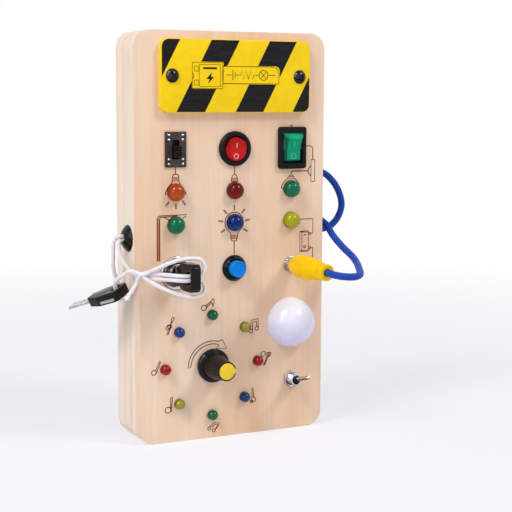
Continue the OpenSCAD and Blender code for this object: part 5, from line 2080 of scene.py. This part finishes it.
@dataclass
class Grommet:
    """Domed rubber grommet in a side wall.

    The side is -1 for the left wall and 1 for the right. Ends are levels out of the wall's face.
    """

    side: int
    hole_r: float
    node: str
    dome_r: float = 6.7
    out: float = 3.5
    barrel_r: float = 4.3
    barrel_end: float = -10.5
    hole_end: float = -6.0
    lip: float = 0.5

    def build(self) -> None:
        """Spins the dome, which is a part of a ball, and its barrel."""
        ball = (self.dome_r**2 + self.out**2) / (2 * self.out)
        low = math.degrees(math.acos(self.dome_r / ball))
        high = math.degrees(math.acos((self.hole_r + self.lip) / ball))
        dome = arc(ball, [low + (high - low) * i / 20 for i in range(21)], (0, self.out - ball))
        lip_top = dome[-1][1]
        edge = [(self.hole_r + 0.15, lip_top - 0.02), (self.hole_r, lip_top - 0.35)]
        profile = [
            (0, self.barrel_end), (self.barrel_r, self.barrel_end), (self.barrel_r, 0),
            (self.dome_r - 0.1, 0), *dome, *edge, (self.hole_r, self.hole_end), (0, self.hole_end),
        ]
        place = sideways(self.side, SIDE_HOLE_Y, SIDE_HOLE_Z)
        put(turned(profile, 72), f"{self.node}_rubber", RUBBER, Body.CASE, place, [self.node])


# ---- Toggle switch and selector ----


@dataclass
class ToggleSwitch:
    """Chrome toggle switch with a hexagon nut and a black seal.

    The bat's flat is the share of its thickness that the lever loses at its end.
    """

    x: float = 32.5
    z: float = 26.0
    pivot: float = 4.0
    tilt: float = 15.0
    thread_r: float = 3.16
    thread_from: float = 2.2
    thread_pitch: float = 0.62
    ridges: int = 6
    bat_from: float = 8.0
    bat_run: float = 5.0
    bat_flat: float = 0.22

    def bushing(self) -> None:
        """Builds the nut and the threaded bushing."""
        eased_node("toggle_nut", "toggle_hex_nut", CHROME, Body.CASE, 0.22)
        eased_node(
            "toggle_housing", "toggle_bushing", CHROME, Body.CASE, 0.16, lambda p: p.y < FACE_Y - 1, 50.0
        )
        root_r, half, ridges = 2.95, 0.26, []
        for i in range(self.ridges):
            level = self.thread_from + self.thread_pitch * i
            outline = [(root_r, level - half), (self.thread_r, level), (root_r, level + half), (2.9, level)]
            ridges.append(turned(outline, 48))
        put(merged(*ridges), "toggle_thread", CHROME, Body.CASE, facing(self.x, self.z))

    def lever(self) -> None:
        """Builds the lever with its flattened end and the seal round it."""
        tilt = Matrix.Rotation(-math.radians(self.tilt), 4, "X")
        lean = facing(self.x, self.z) @ Matrix.Translation((0, 0, self.pivot)) @ tilt
        outline = [
            (0, -3.4), (0.95, -3.4), (0.95, -1.9), (2.1, -0.4), (2.15, 0), (1.95, 0.9), (1.05, 1.9),
            (1.0, 3.0), (1.12, 8.0), (1.35, 12.6), (1.35, 14.2), (1.1, 15.1), (0.6, 15.4), (0, 15.5),
        ]
        bm = turned(eased(outline, 0.6), 48)
        for vert in bm.verts:
            flatten = min(1.0, max(0.0, (vert.co.z - self.bat_from) / self.bat_run))
            vert.co.y *= 1 - self.bat_flat * flatten
        put(bm, "toggle_bat_lever", CHROME, Body.TOGGLE, lean, ["toggle_lever"])
        collar = [(1.02, 1.7), (1.85, 1.1), (1.9, 2.6), (1.4, 3.2), (1.02, 3.3), (1.02, 1.7)]
        put(turned(eased(collar, 0.3), 48), "toggle_seal", SEAL_BLACK, Body.TOGGLE, lean)

    def build(self) -> None:
        """Builds the bushing and the lever in it."""
        self.bushing()
        self.lever()


@dataclass
class Selector:
    """Rotary selector with a skirted fluted knob and a yellow pointer cap."""

    skirt_r: float = 8.4
    foot_r: float = 6.5
    top_r: float = 4.75
    out: float = 17.0
    flutes: int = 18
    flute_depth: float = 0.3
    flute_from: float = 3.9
    flute_run: float = 0.8
    cap_r: float = 3.0
    cap_level: float = 14.0

    def outline(self) -> list[Flat]:
        """Outline of the knob without its flutes.

        Returns:
            Radius and height of its points, from the hole's bottom round the skirt and back.
        """
        cap_r, top_r, out = self.cap_r, self.top_r, self.out
        skirt = [
            (cap_r, 2.6), (7.0, 2.6), (7.0, 0.8), (self.skirt_r, 0.8), (self.skirt_r, 2.5),
            (self.skirt_r - 0.7, 3.4), (self.foot_r + 0.1, 3.5),
        ]
        cone = [(self.foot_r + (top_r - self.foot_r) * i / 12, 4.0 + (out - 4.6) * i / 12) for i in range(13)]
        lip = [(top_r, out + 0.35), (top_r - 0.1, out + 0.5), (top_r - 0.5, out + 0.5), (top_r - 0.55, out)]
        hole = [(cap_r, out), (cap_r, self.cap_level), (0, self.cap_level)]
        return [(cap_r, self.cap_level), *eased(skirt + cone[:1], 0.4), *cone[1:], *lip, *hole]

    def flute(self, bm: Mesh) -> None:
        """Presses the flutes into the side of the knob.

        Args:
            bm: The knob's mesh.
        """
        for vert in bm.verts:
            radius, height = math.hypot(vert.co.x, vert.co.y), vert.co.z
            if radius > self.top_r - 0.6 and self.flute_from < height < self.out - 0.3:
                turn = math.atan2(vert.co.y, vert.co.x) * self.flutes
                deep = min(1.0, (height - self.flute_from) / self.flute_run)
                bite = self.flute_depth * max(0.0, math.cos(turn)) ** 0.6 * deep
                vert.co.x *= 1 - bite / radius
                vert.co.y *= 1 - bite / radius

    def build(self) -> None:
        """Builds the knob and its cap and dresses the shaft and the switch behind it."""
        knob = turned(self.outline(), 12 * self.flutes)
        self.flute(knob)
        put(knob, "selector_knob", BLACK_GLOSS, Body.SELECTOR, facing(*SELECTOR_AT), ["knob_body"], 40.0)
        eased_node("knob_cap", "selector_cap", CAP_YELLOW, Body.SELECTOR, 0.14)
        dress_nodes(STEEL, "selector_shaft", "selector_switch")


# ---- Lanyard and keys ----


@dataclass
class Lanyard:
    """White cord from the left grommet round the spare key to a hitch and the key's two loops.

    The spare key is placed by the middle of its head's far end and turned about x, y and z. The
    crossings are short routes in the hitch: over the front, behind it, and to the loops' low ends.
    The long strand carries the spare key, and the tail ends in a knot under it.
    """

    radius: float = 1.0
    key_end: Place = (-56.9, -10, 75.9)
    key_turn: Place = (-133, -65.5, 169.5)
    knot_at: Place = (-57.7, -17.6, 73.5)
    knot_size: float = 0.34
    knot_r: float = 0.72
    crossings: tuple[tuple[Place, ...], ...] = (
        (
            (-52.8, -18.1, 81.4), (-52.5, -18.6, 83), (-51.7, -20.1, 84.5), (-49.8, -21.5, 85.3),
            (-48.3, -22.9, 86.3),
        ),
        (
            (-53, -17.6, 85.75), (-52, -18.5, 85.3), (-50.6, -19.7, 84.3), (-49.7, -21.4, 83.1),
            (-48.5, -22.7, 82.3),
        ),
        (
            (-50.55, -16.3, 83.26), (-50.2, -17, 83.1), (-49.2, -18.5, 83), (-48, -20, 83.1),
            (-47, -21.3, 83.05),
        ),
        ((-51, -18.4, 84.7), (-50, -18.7, 85.1), (-49, -19.1, 85.3), (-48, -20, 85.3), (-47, -21.3, 85.3)),
    )
    long_route: tuple[Place, ...] = (
        (-44, 0.5, 101.1), (-51, 0.5, 101.15), (-53.6, 0.7, 101.2), (-55.6, 1.1, 100.5), (-56.8, 1.5, 98.8),
        (-57.1, 1.8, 96), (-57, 2.2, 91), (-56.9, 2.5, 86.5), (-56.2, 2.6, 82.6), (-54.9, 2.1, 78.7),
        (-53.6, 1.1, 74.8), (-53, -1.6, 71.9), (-54, -4.6, 70.5), (-56.1, -6.6, 71.1), (-58.1, -7.3, 73.5),
        (-59.7, -7.8, 76.9), (-60.2, -8.9, 80.5), (-57.2, -12.6, 84.2), (-55.6, -14.9, 85.9),
        (-53.8, -16.9, 86.1), (-52, -18.5, 85.3),
    )
    tail_route: tuple[Place, ...] = (
        (-52.4, -18.1, 83.1), (-52.9, -18.1, 80.9), (-54.1, -17.9, 78.8), (-55.4, -17.7, 76.8),
        (-56.6, -17.6, 75.1), (-57.2, -17.6, 74.2), (-58, -17.6, 73.1),
    )
    side_route: tuple[Place, ...] = (
        (-44, 0.5, 98.9), (-53.6, 0.4, 98.9), (-55.5, -1.4, 97), (-55.5, -4.6, 91.8), (-53.8, -8.6, 87),
        (-52.2, -13, 84), (-50.2, -17, 83.1),
    )
    upper_loop: tuple[Place, ...] = (
        (-48, -20, 85.3), (-44.5, -24.6, 85.3), (-40, -30, 85.1), (-35.5, -35.2, 85.1), (-31.5, -36.2, 85.1),
        (-28.5, -36.3, 85.3), (-26.2, -36.5, 87.2), (-25.8, -36.3, 90), (-27.5, -35.6, 92.6),
        (-31.5, -34.2, 93.2), (-37.5, -31.5, 92.2), (-45, -26, 88.5), (-49.8, -21.4, 85.3),
    )
    lower_loop: tuple[Place, ...] = (
        (-48, -20, 83.1), (-44.5, -24.6, 82.9), (-40, -30, 82.9), (-35.5, -35.2, 82.9), (-31.5, -36.2, 82.9),
        (-28.5, -36.3, 82.6), (-26, -36.5, 80.6), (-26, -36.3, 77.4), (-28.5, -36, 75.3),
        (-32.5, -35.6, 75.2), (-39, -31, 76.8), (-45.6, -25.6, 80), (-49.8, -21.4, 83.1),
    )

    def strand(self, name: str, route: Sequence[Place]) -> Cord:
        """One strand of the cord, not built yet."""
        return Cord(name, route, self.radius, CORD_WHITE, sides=24, step=0.35, lift=0.05)

    def hung(
        self, name: str, route: Sequence[Place], node: str, leaves: Place, with_pieces: Sequence = ()
    ) -> Piece:
        """Args:
            name: Name of the piece.
            route: Its centreline.
            node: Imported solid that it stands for.
            leaves: Point where it leaves what holds it.
            with_pieces: Separate pieces on it.

        Returns:
            The strand.
        """
        cord = self.strand(name, route)
        piece = cord.build([node])
        cord.declare(piece, leaves, "knot", "limp", with_pieces)
        return piece

    def knot(self) -> Piece:
        """Ties the small stopper knot at the end of the short strand.

        Returns:
            The knot, which rides with the hitch.
        """
        route = []
        for i in range(25):
            t = math.tau * i / 24
            across = math.sin(t) + 2 * math.sin(2 * t), math.cos(t) - 2 * math.cos(2 * t)
            spot = Vector((*across, -1.2 * math.sin(3 * t)))
            route.append(tuple(Vector(self.knot_at) + spot * self.knot_size))
        piece = Cord("tail_knot", route, self.knot_r, CORD_WHITE, sides=16, step=0.3, lift=0.04).build()
        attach(piece, Body.LOCK.value)
        return piece

    def hitch(self) -> list[Piece]:
        """Leads the strands across each other in the hitch, each into one of the loops' ends.

        Returns:
            The short crossings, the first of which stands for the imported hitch.
        """
        pieces = []
        for name, route in zip(("cord_hitch", "hitch_back", "hitch_low", "hitch_high"), self.crossings):
            pieces.append(self.strand(name, route).build([] if pieces else ["lanyard_hitch"]))
            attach(pieces[-1], Body.LOCK.value)
        return pieces

    def cords(self) -> None:
        """Builds the strands and bakes the placements of those that ride on no body."""
        tail = self.strand("cord_tail", self.tail_route).build(["lanyard_tail"])
        held = [tail, self.knot(), *self.hitch()]
        bend(tail)
        long_strand = self.hung("cord_long_strand", self.long_route, "lanyard", (-53.4, 0.7, 101.2), held)
        bend(long_strand)
        side = self.hung("cord_side_strand", self.side_route, "lanyard_side", (-53.5, 0.4, 98.9))
        bend(side)
        for place, route in (("upper", self.upper_loop), ("lower", self.lower_loop)):
            leaves = (-48.6, -20.6, route[0][2])
            loop = self.hung(f"cord_{place}_loop", route, f"key_loop_{place}", leaves)
            bend(loop)

    def build(self) -> None:
        """Builds the cords, the grommet and the spare key."""
        self.cords()
        Grommet(-1, 2.4, "lanyard_grommet").build()
        eased_node("spare_key_head", "spare_key_black_head", KEY_BLACK, Body.CASE, 0.45)
        eased_node("spare_key_blade", "spare_key_steel_blade", STEEL, Body.CASE, 0.07)
        turn = Euler([math.radians(a) for a in self.key_turn]).to_matrix().to_4x4()
        shoulder = Matrix.Translation(self.key_end) @ turn @ Matrix.Translation((0, KEY_HEAD, 0))
        key_edge_strip("spare_key_head_strip", Body.CASE, shoulder)


def main() -> None:
    """Builds the whole scene."""
    logging.basicConfig(level=logging.INFO, format="%(name)s: %(message)s")
    FRAME.update(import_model())
    studio = Studio()
    studio.camera()
    round_rocker = RockerSwitch(
        "round", 0.0, RED_ROCKER, MARK_WHITE, Body.ROUND_ROCKER, 1.6, 2.0, -3.3, 1.25, stroke_turn=5.0
    )
    square_rocker = RockerSwitch(
        "square", COLUMN_X, GREEN_ROCKER, MARK_GREEN, Body.SQUARE_ROCKER, 2.2, 2.2, -3.75
    )
    for part in (
        PatchCable(), Lanyard(), Case(), SignPlate(), BurntPictures(), SlideSwitch(), round_rocker,
        square_rocker, Lamps(), PushButton(), KeyLock(), ToggleSwitch(), Selector(),
    ):
        part.build()
        LOG.info("%s is built", type(part).__name__)
    studio.build()
    bpy.context.view_layer.update()


if __name__ == "__main__":
    main()
